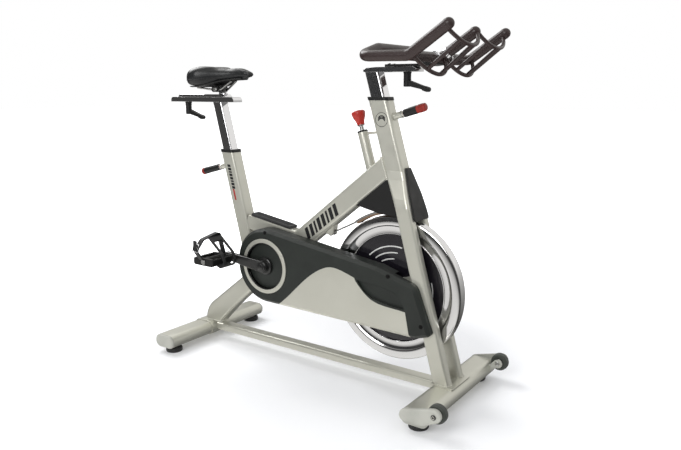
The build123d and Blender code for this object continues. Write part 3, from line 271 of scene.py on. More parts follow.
def new_piece(name, mesh, slot, body, finish=None, sharp=35):
    """A mesh made into a piece of the bike: smooth, with edges kept sharp above an angle in degrees.

    It has its slot's own material, unless another finish is given.
    """
    piece = bpy.data.objects.new(name, mesh)
    bpy.context.scene.collection.objects.link(piece)
    mesh.materials.clear()
    mesh.materials.append(finish or FINISHES[slot])
    for polygon in mesh.polygons:
        polygon.use_smooth = True
    mesh.set_sharp_from_angle(angle=radians(sharp))
    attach(piece, body)
    return piece


def as_mesh(shape, name):
    bmesh.ops.recalc_face_normals(shape, faces=shape.faces)
    mesh = bpy.data.meshes.new(name)
    shape.to_mesh(mesh)
    shape.free()
    return mesh


def join_rows(shape, rows):
    """Walls between rows of points, each row a closed loop."""
    for first, second in rows:
        for index in range(len(first)):
            after = (index + 1) % len(first)
            shape.faces.new((first[index], first[after], second[after], second[index]))


def add_lathe(shape, start, axis, profile, closed=False, steps=48):
    """Add a turned form to a bmesh. The profile gives (distance along the axis, radius), in millimetres."""
    axis = Vector(axis).normalized()
    side = axis.orthogonal().normalized()
    other = axis.cross(side)
    rings = []
    for distance, radius in profile:
        centre = Vector(start) + axis * distance * MM
        ring = []
        for step in range(steps):
            angle = 2 * pi * step / steps
            ring.append(shape.verts.new(centre + (side * cos(angle) + other * sin(angle)) * (radius * MM)))
        rings.append(ring)
    join_rows(shape, zip(rings, rings[1:]))
    if closed:
        join_rows(shape, [(rings[-1], rings[0])])
    else:
        shape.faces.new(rings[0])
        shape.faces.new(rings[-1])


def lathes(name, placings, profile, slot, body, finish=None, **options):
    """One piece of the same turned form at several places, each a (start, axis)."""
    shape = bmesh.new()
    for start, axis in placings:
        add_lathe(shape, start, axis, profile, **options)
    return new_piece(name, as_mesh(shape, name), slot, body, finish)


def lathe(name, start, axis, profile, slot, body, finish=None, **options):
    return lathes(name, [(start, axis)], profile, slot, body, finish, **options)


def ring_profile(radius, thickness):
    """A closed profile of a round ring, for a lathe."""
    turns = [radians(angle) for angle in range(0, 360, 36)]
    return [(thickness * cos(turn), radius + thickness * sin(turn)) for turn in turns]


def band_profile(low, high, inner, outer):
    """A closed profile of a plain band."""
    return [(low, inner), (low, outer), (high, outer), (high, inner)]


def tube_mesh(name, points, radius, closed=False, ripple=0.0):
    """A round line through points, in metres; ripple makes its thickness vary as a weld's does."""
    curve = bpy.data.curves.new(name, "CURVE")
    curve.dimensions = "3D"
    curve.bevel_depth = radius * MM
    curve.bevel_resolution = 3
    curve.use_fill_caps = True
    spline = curve.splines.new("POLY")
    spline.points.add(len(points) - 1)
    for index, (point, place_on) in enumerate(zip(spline.points, points)):
        point.co = (*place_on, 1)
        point.radius = 1 + ripple * sin(2.1 * index)
    spline.use_cyclic_u = closed
    holder = bpy.data.objects.new(name, curve)
    bpy.context.scene.collection.objects.link(holder)
    graph = bpy.context.evaluated_depsgraph_get()
    mesh = bpy.data.meshes.new_from_object(holder.evaluated_get(graph))
    bpy.data.objects.remove(holder)
    return mesh


def spaced(points, gap, closed=False):
    """Points every gap millimetres along a line of straight runs."""
    ends = points[1:] + points[:1] if closed else points[1:]
    result = []
    for start, end in zip(points, ends):
        count = max(1, round((end - start).length / (gap * MM)))
        result += [start.lerp(end, step / count) for step in range(count)]
    return result if closed else result + [points[-1]]


def weld(name, points, radius, closed=False):
    """A painted weld bead along a joint of the frame."""
    path = spaced([Vector(point) for point in points], 2.4, closed)
    mesh = tube_mesh(name, path, radius, closed, ripple=0.13)
    return new_piece(name, mesh, "frame_paint", "frame", sharp=80)


def outline_of(node, keep):
    """The corners of a convex outline: a node's mesh points that keep() accepts, seen from above."""
    points = [vertex.co.copy() for vertex in nodes[node].data.vertices if keep(vertex.co)]
    centre = sum(points, Vector()) / len(points)
    side = UP.orthogonal().normalized()
    other = UP.cross(side)
    return sorted(points, key=lambda point: atan2((point - centre).dot(other), (point - centre).dot(side)))


def decal(name, origin, across, up, shapes, slot, body, finish=None, thickness=0.2):
    """Thin flat shapes on a surface, each an outline of (across, up) in millimetres."""
    normal = across.cross(up).normalized() * thickness * MM
    shape = bmesh.new()
    for outline in shapes:
        low = [shape.verts.new(origin + across * a * MM + up * b * MM) for a, b in outline]
        high = [shape.verts.new(vertex.co + normal) for vertex in low]
        shape.faces.new(low)
        shape.faces.new(high)
        join_rows(shape, [(low, high)])
    return new_piece(name, as_mesh(shape, name), slot, body, finish)


def arc_band(radius, width, start, end, steps=24, rise=0):
    """The outline of a band along an arc, moved up by rise; angles in degrees."""
    angles = [radians(start + (end - start) * step / steps) for step in range(steps + 1)]
    outline = []
    for reach, turns in ((radius + width / 2, angles), (radius - width / 2, angles[::-1])):
        outline += [(reach * cos(angle), rise + reach * sin(angle)) for angle in turns]
    return outline


def slanted(start, width, height, slant):
    """The outline of an upright bar whose top leans across."""
    half = height / 2
    end = start + width
    return [(start, -half), (end, -half), (end + slant, half), (start + slant, half)]


# ---------------------------------------------------------------- saddle

SADDLE_VOXEL = 0.005
SADDLE_SHRINK = 0.002
SADDLE_SWELL = 0.005
CLOTH_PRESSURE = 4
VALLEY_DEPTH, VALLEY_HALF_WIDTH = 0.004, 0.020


def bake(piece):
    """Keep the result of a piece's modifiers as its mesh."""
    graph = bpy.context.evaluated_depsgraph_get()
    mesh = bpy.data.meshes.new_from_object(piece.evaluated_get(graph))
    piece.modifiers.clear()
    piece.data = mesh


def inflate(piece, pressure, limit):
    """Let cloth swell a closed mesh, holding every point within a distance of its start."""
    start = [vertex.co.copy() for vertex in piece.data.vertices]
    cloth = piece.modifiers.new("cloth", "CLOTH")
    cloth.settings.use_pressure = True
    cloth.settings.uniform_pressure_force = pressure
    cloth.settings.effector_weights.gravity = 0
    cloth.collision_settings.use_collision = False
    scene = bpy.context.scene
    for step in range(1, 21):
        scene.frame_set(step)
    bake(piece)
    scene.frame_set(1)
    for vertex, old in zip(piece.data.vertices, start):
        move = vertex.co - old
        if move.length > limit:
            vertex.co = old + move.normalized() * limit


def saddle_cover():
    """The padded cover: the plain pad remeshed, drawn in a little, swollen by cloth and smoothed."""
    cover = bpy.data.objects.new("saddle_cover", nodes["saddle_pad"].data.copy())
    bpy.context.scene.collection.objects.link(cover)
    remesh = cover.modifiers.new("remesh", "REMESH")
    remesh.mode = "VOXEL"
    remesh.voxel_size = SADDLE_VOXEL
    smooth = cover.modifiers.new("smooth", "SMOOTH")
    smooth.factor = 0.6
    smooth.iterations = 12
    bake(cover)
    low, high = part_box("saddle_pad")
    normals = [vertex.normal.copy() for vertex in cover.data.vertices]
    for vertex, normal in zip(cover.data.vertices, normals):
        vertex.co -= normal * SADDLE_SHRINK
        along = (vertex.co.x - low[0]) / (high[0] - low[0])
        valley = max(0, 1 - abs(vertex.co.y) / VALLEY_HALF_WIDTH) * max(0, 1 - abs(along - 0.35) / 0.4)
        if normal.z > 0.4:
            vertex.co.z -= VALLEY_DEPTH * valley * valley
    inflate(cover, CLOTH_PRESSURE, SADDLE_SWELL)
    surface = cover.modifiers.new("surface", "SUBSURF")
    surface.levels = 1
    bake(cover)
    cover.data.materials.clear()
    cover.data.materials.append(saddle_leather)
    for polygon in cover.data.polygons:
        polygon.use_smooth = True
    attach(cover, "saddle")
    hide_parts("saddle_pad")
    return cover


def cut_loop(mesh, point, normal):
    """The closed line where a plane cuts a mesh."""
    shape = bmesh.new()
    shape.from_mesh(mesh)
    everything = shape.verts[:] + shape.edges[:] + shape.faces[:]
    cut = bmesh.ops.bisect_plane(shape, geom=everything, plane_co=point, plane_no=normal)
    edges = {part for part in cut["geom_cut"] if isinstance(part, bmesh.types.BMEdge)}
    edge = min(edges, key=lambda part: part.index)
    first, here = edge.verts
    line = [first.co.copy()]
    while edge and here is not first:
        line.append(here.co.copy())
        edges.discard(edge)
        edge = next((other for other in here.link_edges if other in edges), None)
        here = edge.other_vert(here) if edge else None
    shape.free()
    return line


def evenly(line, gap):
    """Points a fixed distance apart along a closed line, in metres."""
    result, carried = [line[0]], 0.0
    for start, end in zip(line, line[1:] + line[:1]):
        length = (end - start).length
        while carried + length >= gap:
            share = (gap - carried) / length
            start = start.lerp(end, share)
            length = (end - start).length
            carried = 0.0
            result.append(start)
        carried += length
    return result


def saddle_seams(cover):
    """A piped seam round the saddle's side, and a row of stitches above it."""
    low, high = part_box("saddle_pad")
    rear, nose = Vector((low[0], 0, low[2] + 0.020)), Vector((high[0], 0, low[2] + 0.033))
    run = nose - rear
    line = cut_loop(cover.data, rear, Vector((-run.z, 0, run.x)).normalized())
    piping = tube_mesh("saddle_piping", evenly(line, 0.004), 1.3, closed=True)
    new_piece("saddle_piping", piping, "saddle_vinyl", "saddle", sharp=80)
    tree = BVHTree.FromObject(cover, bpy.context.evaluated_depsgraph_get())
    stitches = bmesh.new()
    marks = evenly(line, 0.0022)
    for start, end in zip(marks[::2], marks[1::2]):
        first = tree.find_nearest(start + Vector((0, 0, 0.0035)))[0]
        second = tree.find_nearest(end + Vector((0, 0, 0.0035)))[0]
        if (second - first).length > 0.0005:
            length = (second - first).length / MM
            profile = [(-0.2, 0.15), (0.1, 0.42), (length - 0.1, 0.42), (length + 0.2, 0.15)]
            add_lathe(stitches, first, second - first, profile, steps=6)
    new_piece("saddle_stitches", as_mesh(stitches, "saddle_stitches"), "saddle_vinyl", "saddle", thread)


saddle_seams(saddle_cover())

# ---------------------------------------------------------------- pull pins, knob, levers


def axis_span(node, axis):
    """The start of a round node's axis and its length in millimetres, from its mesh, along a direction."""
    axis = Vector(axis).normalized()
    points = [vertex.co for vertex in nodes[node].data.vertices]
    lows = min(point.dot(axis) for point in points)
    highs = max(point.dot(axis) for point in points)
    end = [point for point in points if point.dot(axis) > highs - 0.0005]
    centre = sum(end, Vector()) / len(end)
    return centre - axis * (highs - lows), (highs - lows) / MM


def dress_pin(pin, sleeve, cap, radius, barrel):
    """The black sleeve, the bright ring, the ribbed cap and the nut over a pull pin."""
    joint = joints[pin + "_pull"]
    axis, body = Vector(joint["axis"]), joint["child"]
    start, length = axis_span(pin, axis)
    cap_foot = length - cap
    sleeve_foot = cap_foot - sleeve
    sleeve_profile = [
        (sleeve_foot + 0.5, radius - 1.2),
        (sleeve_foot + 2, radius + 0.1),
        (sleeve_foot + sleeve * 0.5, radius + 0.2),
        (cap_foot - 4, radius + 0.6),
        (cap_foot - 1, radius + 0.3),
    ]
    lathe(pin + "_sleeve", start, axis, sleeve_profile, "black_plastic", body)
    ring = band_profile(sleeve_foot - 0.1, sleeve_foot + 3, radius - 3, radius - 0.6)
    lathe(pin + "_ring", start, axis, ring, "chrome", body)
    ribs = [(start + axis * (cap_foot + cap * (0.25 + 0.2 * rib)) * MM, axis) for rib in range(3)]
    lathes(pin + "_ribs", ribs, ring_profile(radius + 0.1, 0.9), "pin_grip", body, closed=True)
    nut = [(barrel, 10.6), (barrel + 1, 11.6), (barrel + 5, 11.6), (barrel + 6, 10.6)]
    lathe(pin + "_nut", start, axis, nut, "steel", "frame", steps=6)


dress_pin("seat_pin", 82, 13, 11.5, 36)
dress_pin("head_pin", 47, 28, 12, 33)

KNOB_TOP = 315.6
TUBE_SEAM = 98
brake_axis = Vector(joints["knob_turn"]["axis"])
brake_foot = Vector(joints["knob_turn"]["pos_m"])
collar = [(248, 8.4), (248, 16.6), (252, 16.6), (253.5, 15), (253.5, 8.4)]
lathe("tube_collar", brake_foot, brake_axis, collar, "black_plastic", "frame", closed=True)
washer = band_profile(268.5, 270.6, 7, 11)
lathe("knob_washer", brake_foot, brake_axis, washer, "steel", "knob", closed=True)
knob_top = brake_foot + brake_axis * KNOB_TOP * MM
lathe("knob_cap", knob_top, brake_axis, [(0, 9), (0.9, 9), (1.3, 7.5), (1.4, 0.5)], "knob_red", "knob")
ribs = []
brake_side = brake_axis.orthogonal().normalized()
for index in range(12):
    angle = 2 * pi * index / 12
    out = brake_side * cos(angle) + brake_axis.cross(brake_side) * sin(angle)
    low = brake_foot + brake_axis * 0.300 + out * 0.0192
    high = brake_foot + brake_axis * 0.311 + out * 0.0206
    ribs.append((low, high - low))
rib_length = (high - low).length / MM
rib = [(-1.5, 0.4), (0, 1.5), (rib_length, 1.7), (rib_length + 1.5, 0.5)]
lathes("knob_grip_ribs", ribs, rib, "knob_red", "knob", steps=10)

for lever in ("seat_lever", "bar_lever"):
    joint = joints[lever + "_turn"]
    top = Vector((joint["pos_m"][0], 0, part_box(lever)[1][2]))
    collar = [(0.4, 7), (0.4, 12.2), (4, 12.2), (5, 11.2), (5, 7)]
    lathe(lever + "_collar", top, DOWN, collar, "black_plastic", joint["child"], closed=True)
    waist, waist_profile = top + DOWN * 0.022, ring_profile(10.9, 0.8)
    lathe(lever + "_waist", waist, DOWN, waist_profile, "black_plastic", joint["child"], closed=True)

# ---------------------------------------------------------------- crank and pedals

crank_centre = Vector(joints["crank_spin"]["pos_m"])
disc_face = [(67.4, 24.5), (67.4, 78.5), (69.2, 78.5), (70.0, 76), (70.2, 50), (71.6, 42), (71.8, 24.5)]
lathe("chain_disc", crank_centre, RIGHT, disc_face, "guard_plastic", "crank", closed=True, steps=96)
collar = [(72, 24), (72, 29), (75, 30.5), (80, 29), (82.5, 25), (82.5, 23)]
lathe("crank_collar", crank_centre, RIGHT, collar, "black_metal", "crank", closed=True, steps=64)
ARM_FACE = 98
arm_cap = [
    (ARM_FACE - 0.3, 17.5), (ARM_FACE + 2.4, 17), (ARM_FACE + 3.2, 15.5), (ARM_FACE + 3.2, 11.5),
    (ARM_FACE + 5.2, 11), (ARM_FACE + 6.4, 7), (ARM_FACE + 6.6, 0.6),
]
for side, out in ACROSS.items():
    lathe(f"crank_cap_{side}", crank_centre, out, arm_cap, "black_metal", "crank", steps=56)
lip = [(76.5, 79.2), (82.6, 79.2), (83.4, 80.2), (83.4, 82), (76.5, 82)]
lathe("ring_lip", crank_centre, RIGHT, lip, "black_metal", "frame", closed=True, steps=96)


def strap_tail(name, centre, lean, face, body):
    """The free end of a toe strap, which leaves the buckle and bends away from it."""
    tail = bmesh.new()
    rows = []
    for step in range(9):
        share = step / 8
        bend = centre + face * (0.0022 + 0.006 * share * share) + lean * (-0.010 + 0.034 * share)
        corners = ((-1, 0), (1, 0), (1, 0.0018), (-1, 0.0018))
        rows.append([tail.verts.new(bend + FORWARD * a * 0.0085 + face * depth) for a, depth in corners])
    join_rows(tail, zip(rows, rows[1:]))
    tail.faces.new(rows[0])
    tail.faces.new(rows[-1])
    new_piece(name, as_mesh(tail, name), "strap_webbing", body)


def buckle(side, centre, lean, face, body):
    """A wire frame round the strap, and the bar across it."""
    frame_line = [
        centre + FORWARD * a * 0.0118 + lean * b * 0.0135 + face * 0.0005
        for a, b in ((-1, -1), (1, -1), (1, 1), (-1, 1))
    ]
    wire = tube_mesh("buckle", spaced(frame_line, 4, True), 1.5, closed=True)
    new_piece(f"buckle_frame_{side}", wire, "chrome", body, sharp=80)
    bar_line = [centre + FORWARD * a * 0.0118 + face * 0.0018 for a in (-1, 1)]
    new_piece(f"buckle_bar_{side}", tube_mesh("bar", spaced(bar_line, 4), 1.3), "steel", body, sharp=80)


STRAP_OUT, STRAP_UP = 239.2, 55
spindle_cap = [(208.1, 9.5), (209.6, 9.2), (210.6, 8), (210.6, 4.4), (209.4, 4.2), (209.4, 0.5)]
stud = [(0, 2.6), (1.8, 2.2), (2.3, 1.2)]
for side, out in ACROSS.items():
    joint = joints[f"{side}_pedal_spin"]
    spindle, body = Vector(joint["pos_m"]), joint["child"]
    turn = 1 if side == "right" else -1
    lathe(f"pedal_cap_{side}", spindle, out, spindle_cap, "steel", body)
    studs = [
        (spindle + Vector((bar_x, 0, face * 10.6)) * MM + out * (119 + step * 10.4) * MM, (0, 0, face))
        for bar_x in (-41, 41) for step in range(9) for face in (-1, 1)
    ]
    lathes(f"pedal_studs_{side}", studs, stud, "black_plastic", body, steps=10)
    strap = spindle + UP * turn * STRAP_UP * MM + out * STRAP_OUT * MM
    lean = Vector((0, out.y * -6, turn * 22)).normalized()
    face = Vector((0, out.y * 22, turn * 6)).normalized()
    buckle(side, strap, lean, face, body)
    strap_tail(f"strap_tail_{side}", strap, lean, face, body)

# ---------------------------------------------------------------- transport wheels, feet, step pad

axle_cap = [(250.8, 5.6), (251.2, 5.2), (251.2, 3.4), (249.6, 3.2), (249.6, 0.4)]
for side, out in ACROSS.items():
    joint = joints[f"{side}_wheel_spin"]
    axle, body = Vector(joint["pos_m"]), joint["child"]
    low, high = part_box(f"transport_wheel_{side}")
    inner, outer = sorted(abs(y) / MM for y in (low[1], high[1]))
    hub = [(-inner - 0.2, 14), (-inner + 1.0, 13.5), (-inner + 1.4, 6.6), (-inner - 0.2, 6.6)]
    lathe(f"wheel_hub_{side}", axle, -out, hub, "guard_plastic", body, closed=True)
    ribs = [(axle + out * (inner + (outer - inner) * share) * MM, out) for share in (0.3, 0.5, 0.7)]
    lathes(f"tyre_ribs_{side}", ribs, ring_profile(27.2, 0.55), "wheel_rubber", body, closed=True, steps=72)
    cap_foot = Vector((axle.x, 0, axle.z))
    lathe(f"axle_cap_{side}", cap_foot, out, axle_cap, "steel", "frame", paint, steps=6)

AXLE_X, AXLE_Z = 70, 69
BRACKET_RADIUS = 15.5
bracket = [(34, 30), (34, 58), (46, 62), (60, 78)]
for angle in range(75, -106, -15):
    turn = radians(angle)
    bracket.append((AXLE_X + BRACKET_RADIUS * cos(turn), AXLE_Z + BRACKET_RADIUS * sin(turn)))
bracket.append((52, 42))
bracket_bolt = [(-0.2, 7.2), (2.2, 7.0), (3.4, 5.4), (3.6, 3), (2.4, 2.8), (2.4, 0.4)]
for side in (-1, 1):
    flat = [(-side * x, z) for x, z in bracket]
    origin = at(0, side * 201.5, 0)
    name = f"wheel_bracket_{side + 2}"
    decal(name, origin, FORWARD * -side, UP, [flat], "cap_plastic", "frame", thickness=-4)
    axle = at(AXLE_X, side * 197.5, AXLE_Z)
    lathe(f"bracket_bolt_{side + 2}", axle, (0, -side, 0), bracket_bolt, "steel", "frame", steps=32)

foot_centres = [Vector(mount["pos_m"]) for mount in frame["record"]["mounts"]]
ridges = [(centre + UP * height * MM, UP) for centre in foot_centres for height in (4, 7.5, 11)]
lathes("foot_ridges", ridges, ring_profile(28.8, 0.7), "rubber", "frame", closed=True, steps=64)
foot_plate = [(15.1, 24), (15.8, 25), (17.0, 25), (17.6, 24)]
plates = [(centre, UP) for centre in foot_centres]
lathes("foot_plates", plates, foot_plate, "rubber", "frame", black_metal, steps=64)

low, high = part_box("step_pad")
pad_run = Vector((high[0] - low[0] - 0.012, 0, -(high[2] - low[2] - 0.012))).normalized()
pad_start = Vector((low[0] + 0.008, 0, high[2] - 0.0006)) + pad_run * 0.002
ribs = [(pad_start + LEFT * (index - 2.5) * 5.2 * MM, pad_run) for index in range(6)]
lathes("step_pad_ribs", ribs, [(0, 0.5), (2, 1.3), (158, 1.3), (160, 0.5)], "rubber", "frame", steps=10)

# ---------------------------------------------------------------- chain guard and flywheel

GUARD_SCREWS = ((-668, 459), (-180, 384), (-64, 248))
screw_ring = [(-1.2, 6.8), (0.3, 6.6), (0.7, 6.0), (0.7, 5.2), (-1.2, 5.2)]
screw_socket = [(-1.2, 5.3), (1.5, 5.3), (1.7, 4.8)]
# the screw rings and sockets get the near-black painted shade of a recess instead of steel
for index, (x, z) in enumerate(GUARD_SCREWS):
    head = at(x, 0, z)
    head.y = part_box("guard_cover")[0][1]
    lathe(f"screw_ring_{index}", head, RIGHT, screw_ring, "steel", "frame", painted_recess_shade, closed=True, steps=32)
    lathe(f"screw_socket_{index}", head, RIGHT, screw_socket, "steel", "frame", painted_recess_shade, steps=32)

wheel_centre = Vector(joints["flywheel_spin"]["pos_m"])
rim_half = [
    (13.0, 172), (12.9, 179), (13.2, 186), (13.9, 191.5), (15.0, 195.5), (16.4, 198.2),
    (17.6, 199.6), (18.2, 201.5), (18.5, 206), (18.5, 214), (18.2, 220), (17.4, 224),
    (16.2, 226.4), (14.4, 227.8), (12.0, 228.4), (6.0, 228.5),
]
rim_whole = rim_half + [(-along, radius) for along, radius in reversed(rim_half)]
rim = lathe("chromed_rim", wheel_centre, RIGHT, rim_whole, "rim_chrome", "flywheel", closed=True, steps=192)
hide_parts("flywheel_rim")

hub_plate = [(8.0, 30.2), (8.0, 46), (9.2, 46), (10.2, 44.5), (10.2, 31.5), (12, 30.2)]
hub_bolt = [(0, 4.6), (2.6, 4.6), (3.4, 4.0), (3.4, 2.2), (2.0, 2.0), (2.0, 0.2)]
disc_edge = [(13.0, 171), (14.4, 172), (14.4, 174.5), (13.3, 175.5)]
disc_arcs = []
for radius, start, sweep, steps in ((132, 80, 56, 30), (112, 86, 44, 24), (92, 92, 30, 18)):
    for turn in (0, 120, 240):
        disc_arcs.append(arc_band(radius, 4, start + turn, start + turn + sweep, steps))
for side, out in ACROSS.items():
    lathe(f"hub_plate_{side}", wheel_centre, out, hub_plate, "black_metal", "flywheel", closed=True, steps=72)
    bolts = []
    for index in range(6):
        angle = 2 * pi * index / 6
        bolts.append((wheel_centre + Vector((cos(angle), 0, sin(angle))) * 0.038 + out * 0.0101, out))
    lathes(f"hub_bolts_{side}", bolts, hub_bolt, "steel", "flywheel", steps=12)
    lathe(f"disc_edge_{side}", wheel_centre, out, disc_edge, "rim_chrome", "flywheel", closed=True, steps=160)
    across = FORWARD if side == "right" else -FORWARD
    origin = wheel_centre + out * 8.05 * MM
    decal(f"disc_arcs_{side}", origin, across, UP, disc_arcs, "disc_paint", "flywheel", print_white)

# ---------------------------------------------------------------- welds

BEAD_LIFT = 0.0004


def foot_weld(name, node, depth, radius, keep=lambda point: True):
    """A bead round the foot of a node, where it stands on the part below."""
    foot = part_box(node)[0][2]
    loop = outline_of(node, lambda point: point.z < foot + depth and keep(point))
    weld(name, [(point.x, point.y, foot + BEAD_LIFT) for point in loop], radius, closed=True)


for side, name in ((-1, "right"), (1, "left")):
    foot_weld(f"leg_weld_{name}", "fork_legs", 0.0004, 2.4, lambda point: point.y * side > 0)
    neck = ((-242.8, 736.5), (-231.2, 697), (-221, 668))
    weld(f"neck_weld_{side + 2}", [at(x, side * 21.5, z) for x, z in neck], 4.6)
foot_weld("strut_weld", "rear_strut", 0.0006, 2.6)
for side in (-1, 1):
    strap_edge = [(-1058, 60), (-1050, 66), (-1000, 68.6), (-985, 66), (-976, 58)]
    weld(f"strap_weld_{side + 2}", [at(x, side * 46, z) for x, z in strap_edge], 1.6)
for pin, reach in (("seat_pin", 8.2), ("head_pin", 9.2)):
    axis = Vector(joints[pin + "_pull"]["axis"])
    bead = [(reach + distance, radius) for distance, radius in ring_profile(10.2, 2.0)]
    lathe(pin + "_weld", axis_span(pin, axis)[0], axis, bead, "frame_paint", "frame", closed=True)
tube_foot = brake_foot + brake_axis * TUBE_SEAM * MM
lathe("tube_weld", tube_foot, brake_axis, ring_profile(16.2, 2.0), "frame_paint", "frame", closed=True)

# ---------------------------------------------------------------- printed shapes and marks

TUBE_FACE = 25.0
SEAT_TOP_X, SEAT_SLOPE = -889.5, 0.2586
HEAD_TOP_X, HEAD_SLOPE = -259, 0.2943
tube_run = Vector((cos(radians(38.66)), 0, sin(radians(38.66))))
tube_up = Vector((-tube_run.z, 0, tube_run.x))
seat_run = Vector((sin(radians(14.5)), 0, -cos(radians(14.5))))
seat_up = Vector((-seat_run.z, 0, seat_run.x))
head_upward = Vector((-sin(radians(16.4)), 0, cos(radians(16.4))))


def on_down_tube(x, y):
    """A point just under the middle of the down tube's side."""
    return at(x, y, 583 + 0.80 * (x + 378.8))


def bars(height, slant, scale=1.0, gap=7.5):
    """A row of slanted bars of changing width."""
    shapes, start = [], 0
    for width in (15, 15, 9, 15, 15, 9, 15, 15):
        shapes.append(slanted(start * scale, width * scale, height, slant))
        start += width + gap
    return shapes


def printed(name, origin, across, up, shapes, finish=print_black):
    decal(name, origin, across, up, shapes, "frame_paint", "frame", finish)


down_bars, seat_bars = bars(38, 12), bars(14, 4, 0.62, 5)
printed("down_bars_right", on_down_tube(-536, -TUBE_FACE), tube_run, tube_up, down_bars)
printed("down_bars_left", on_down_tube(-364, TUBE_FACE), -tube_run, tube_up, down_bars)
printed("seat_bars_right", at(SEAT_TOP_X + 8.5, -TUBE_FACE, 676), seat_run, seat_up, seat_bars)
printed("seat_bars_left", at(SEAT_TOP_X + 42, TUBE_FACE, 549), -seat_run, seat_up, seat_bars)
stripe = slanted(0, 40, 7, 2)
printed("seat_stripe", at(SEAT_TOP_X + 29, -TUBE_FACE, 588), seat_run, seat_up, [stripe], knob_red)
badge = [arc_band(21, 1.5, start, start + 180, 36) for start in (0, 180)]
badge += [arc_band(12, 3, 20, 160, rise=rise) for rise in (0, -4, -8)]
for side, out in ACROSS.items():
    centre = at(HEAD_TOP_X + 62 * HEAD_SLOPE - 1, out.y * TUBE_FACE, 848)
    printed(f"head_badge_{side}", centre, FORWARD * -out.y, UP, badge)


def height_marks(name, origin, upward, body, count):
    """Short height marks up a post's right face; each fifth one is longer."""
    across = Vector((upward.z, 0, -upward.x))
    shapes = []
    for index in range(count):
        half = 7 if index % 5 == 0 else 4
        low, high = index * 10 - 0.6, index * 10 + 0.6
        shapes.append([(-half, low), (half, low), (half, high), (-half, high)])
    decal(name, origin, across, upward, shapes, "chrome", body, print_black, thickness=0.12)


height_marks("seat_marks", at(SEAT_TOP_X - 22 * SEAT_SLOPE, -19.0, 739), -seat_run, "seat_mast", 14)
height_marks("head_marks", at(HEAD_TOP_X - 18 * HEAD_SLOPE, -20.0, 923), head_upward, "bar_mast", 6)

# ---------------------------------------------------------------- saddle clamp and handlebar fittings

low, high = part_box("saddle_clamp")
middle = (Vector(low) + Vector(high)) / 2
clamp_nut = [(0, 9.2), (0.9, 9.2), (1.2, 7.2), (4.8, 7.2), (5.6, 6.2), (5.6, 3.2), (4.2, 3)]
for side in (-1, 1):
    centre = Vector((middle.x - 0.004, side * (high[1] + 0.00005), middle.z))
    lathe(f"clamp_nut_{side + 2}", centre, (0, side, 0), clamp_nut, "black_metal", "saddle", steel, steps=6)
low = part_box("saddle_shell")[0]
for side in (-1, 1):
    rivet = Vector((low[0] + 0.03, side * 0.045, low[2] + 0.0006))
    rivet_head = [(0, 4), (1.2, 3.8), (2.0, 2.2), (2.1, 0.3)]
    lathe(f"shell_rivet_{side + 2}", rivet, DOWN, rivet_head, "black_plastic", "saddle", steel)

HORN_X, HORN_Z = -62, 1024
horn = Vector((112, 0, 74)).normalized()
for index, (y, end) in enumerate(((-187, 131), (0, 118), (187, 131))):
    cap = [(end - 2, 15.05), (end - 1.6, 15.5), (end + 1.2, 15.5), (end + 1.6, 15.05)]
    lathe(f"horn_end_{index}", at(HORN_X, y, HORN_Z), horn, cap, "bar_coating", "bars")
stem_band = band_profile(20, 30, 15.05, 17)
lathe("stem_band", at(HORN_X, 0, HORN_Z), horn, stem_band, "chrome", "bars", closed=True)
cross_band = band_profile(0, 9, 14.05, 16.6)
carriage_screw = [(0, 4.6), (2.6, 4.6), (3.2, 4.0), (3.2, 2.2), (1.8, 2.0), (1.8, 0.3)]
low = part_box("bar_carriage")[0]
for side in (-1, 1):
    foot = at(HORN_X, side * 36, HORN_Z)
    lathe(f"cross_band_{side + 2}", foot, (0, side, 0), cross_band, "chrome", "bars", closed=True)
    screw = Vector((low[0] + 0.012, side * 0.014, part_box("head_post")[1][2] + 0.00735))
    lathe(f"carriage_screw_{side + 2}", screw, UP, carriage_screw, "steel", "bars", steps=24)
dome = Vector((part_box("seat_carriage")[1][0] - 0.014, 0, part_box("seat_post")[1][2] + 0.0103))
lathe("carriage_knob", dome, UP, [(-0.4, 12), (2, 12), (5, 10), (6.6, 5), (6.9, 0.5)], "chrome", "saddle")

# ---------------------------------------------------------------- studio


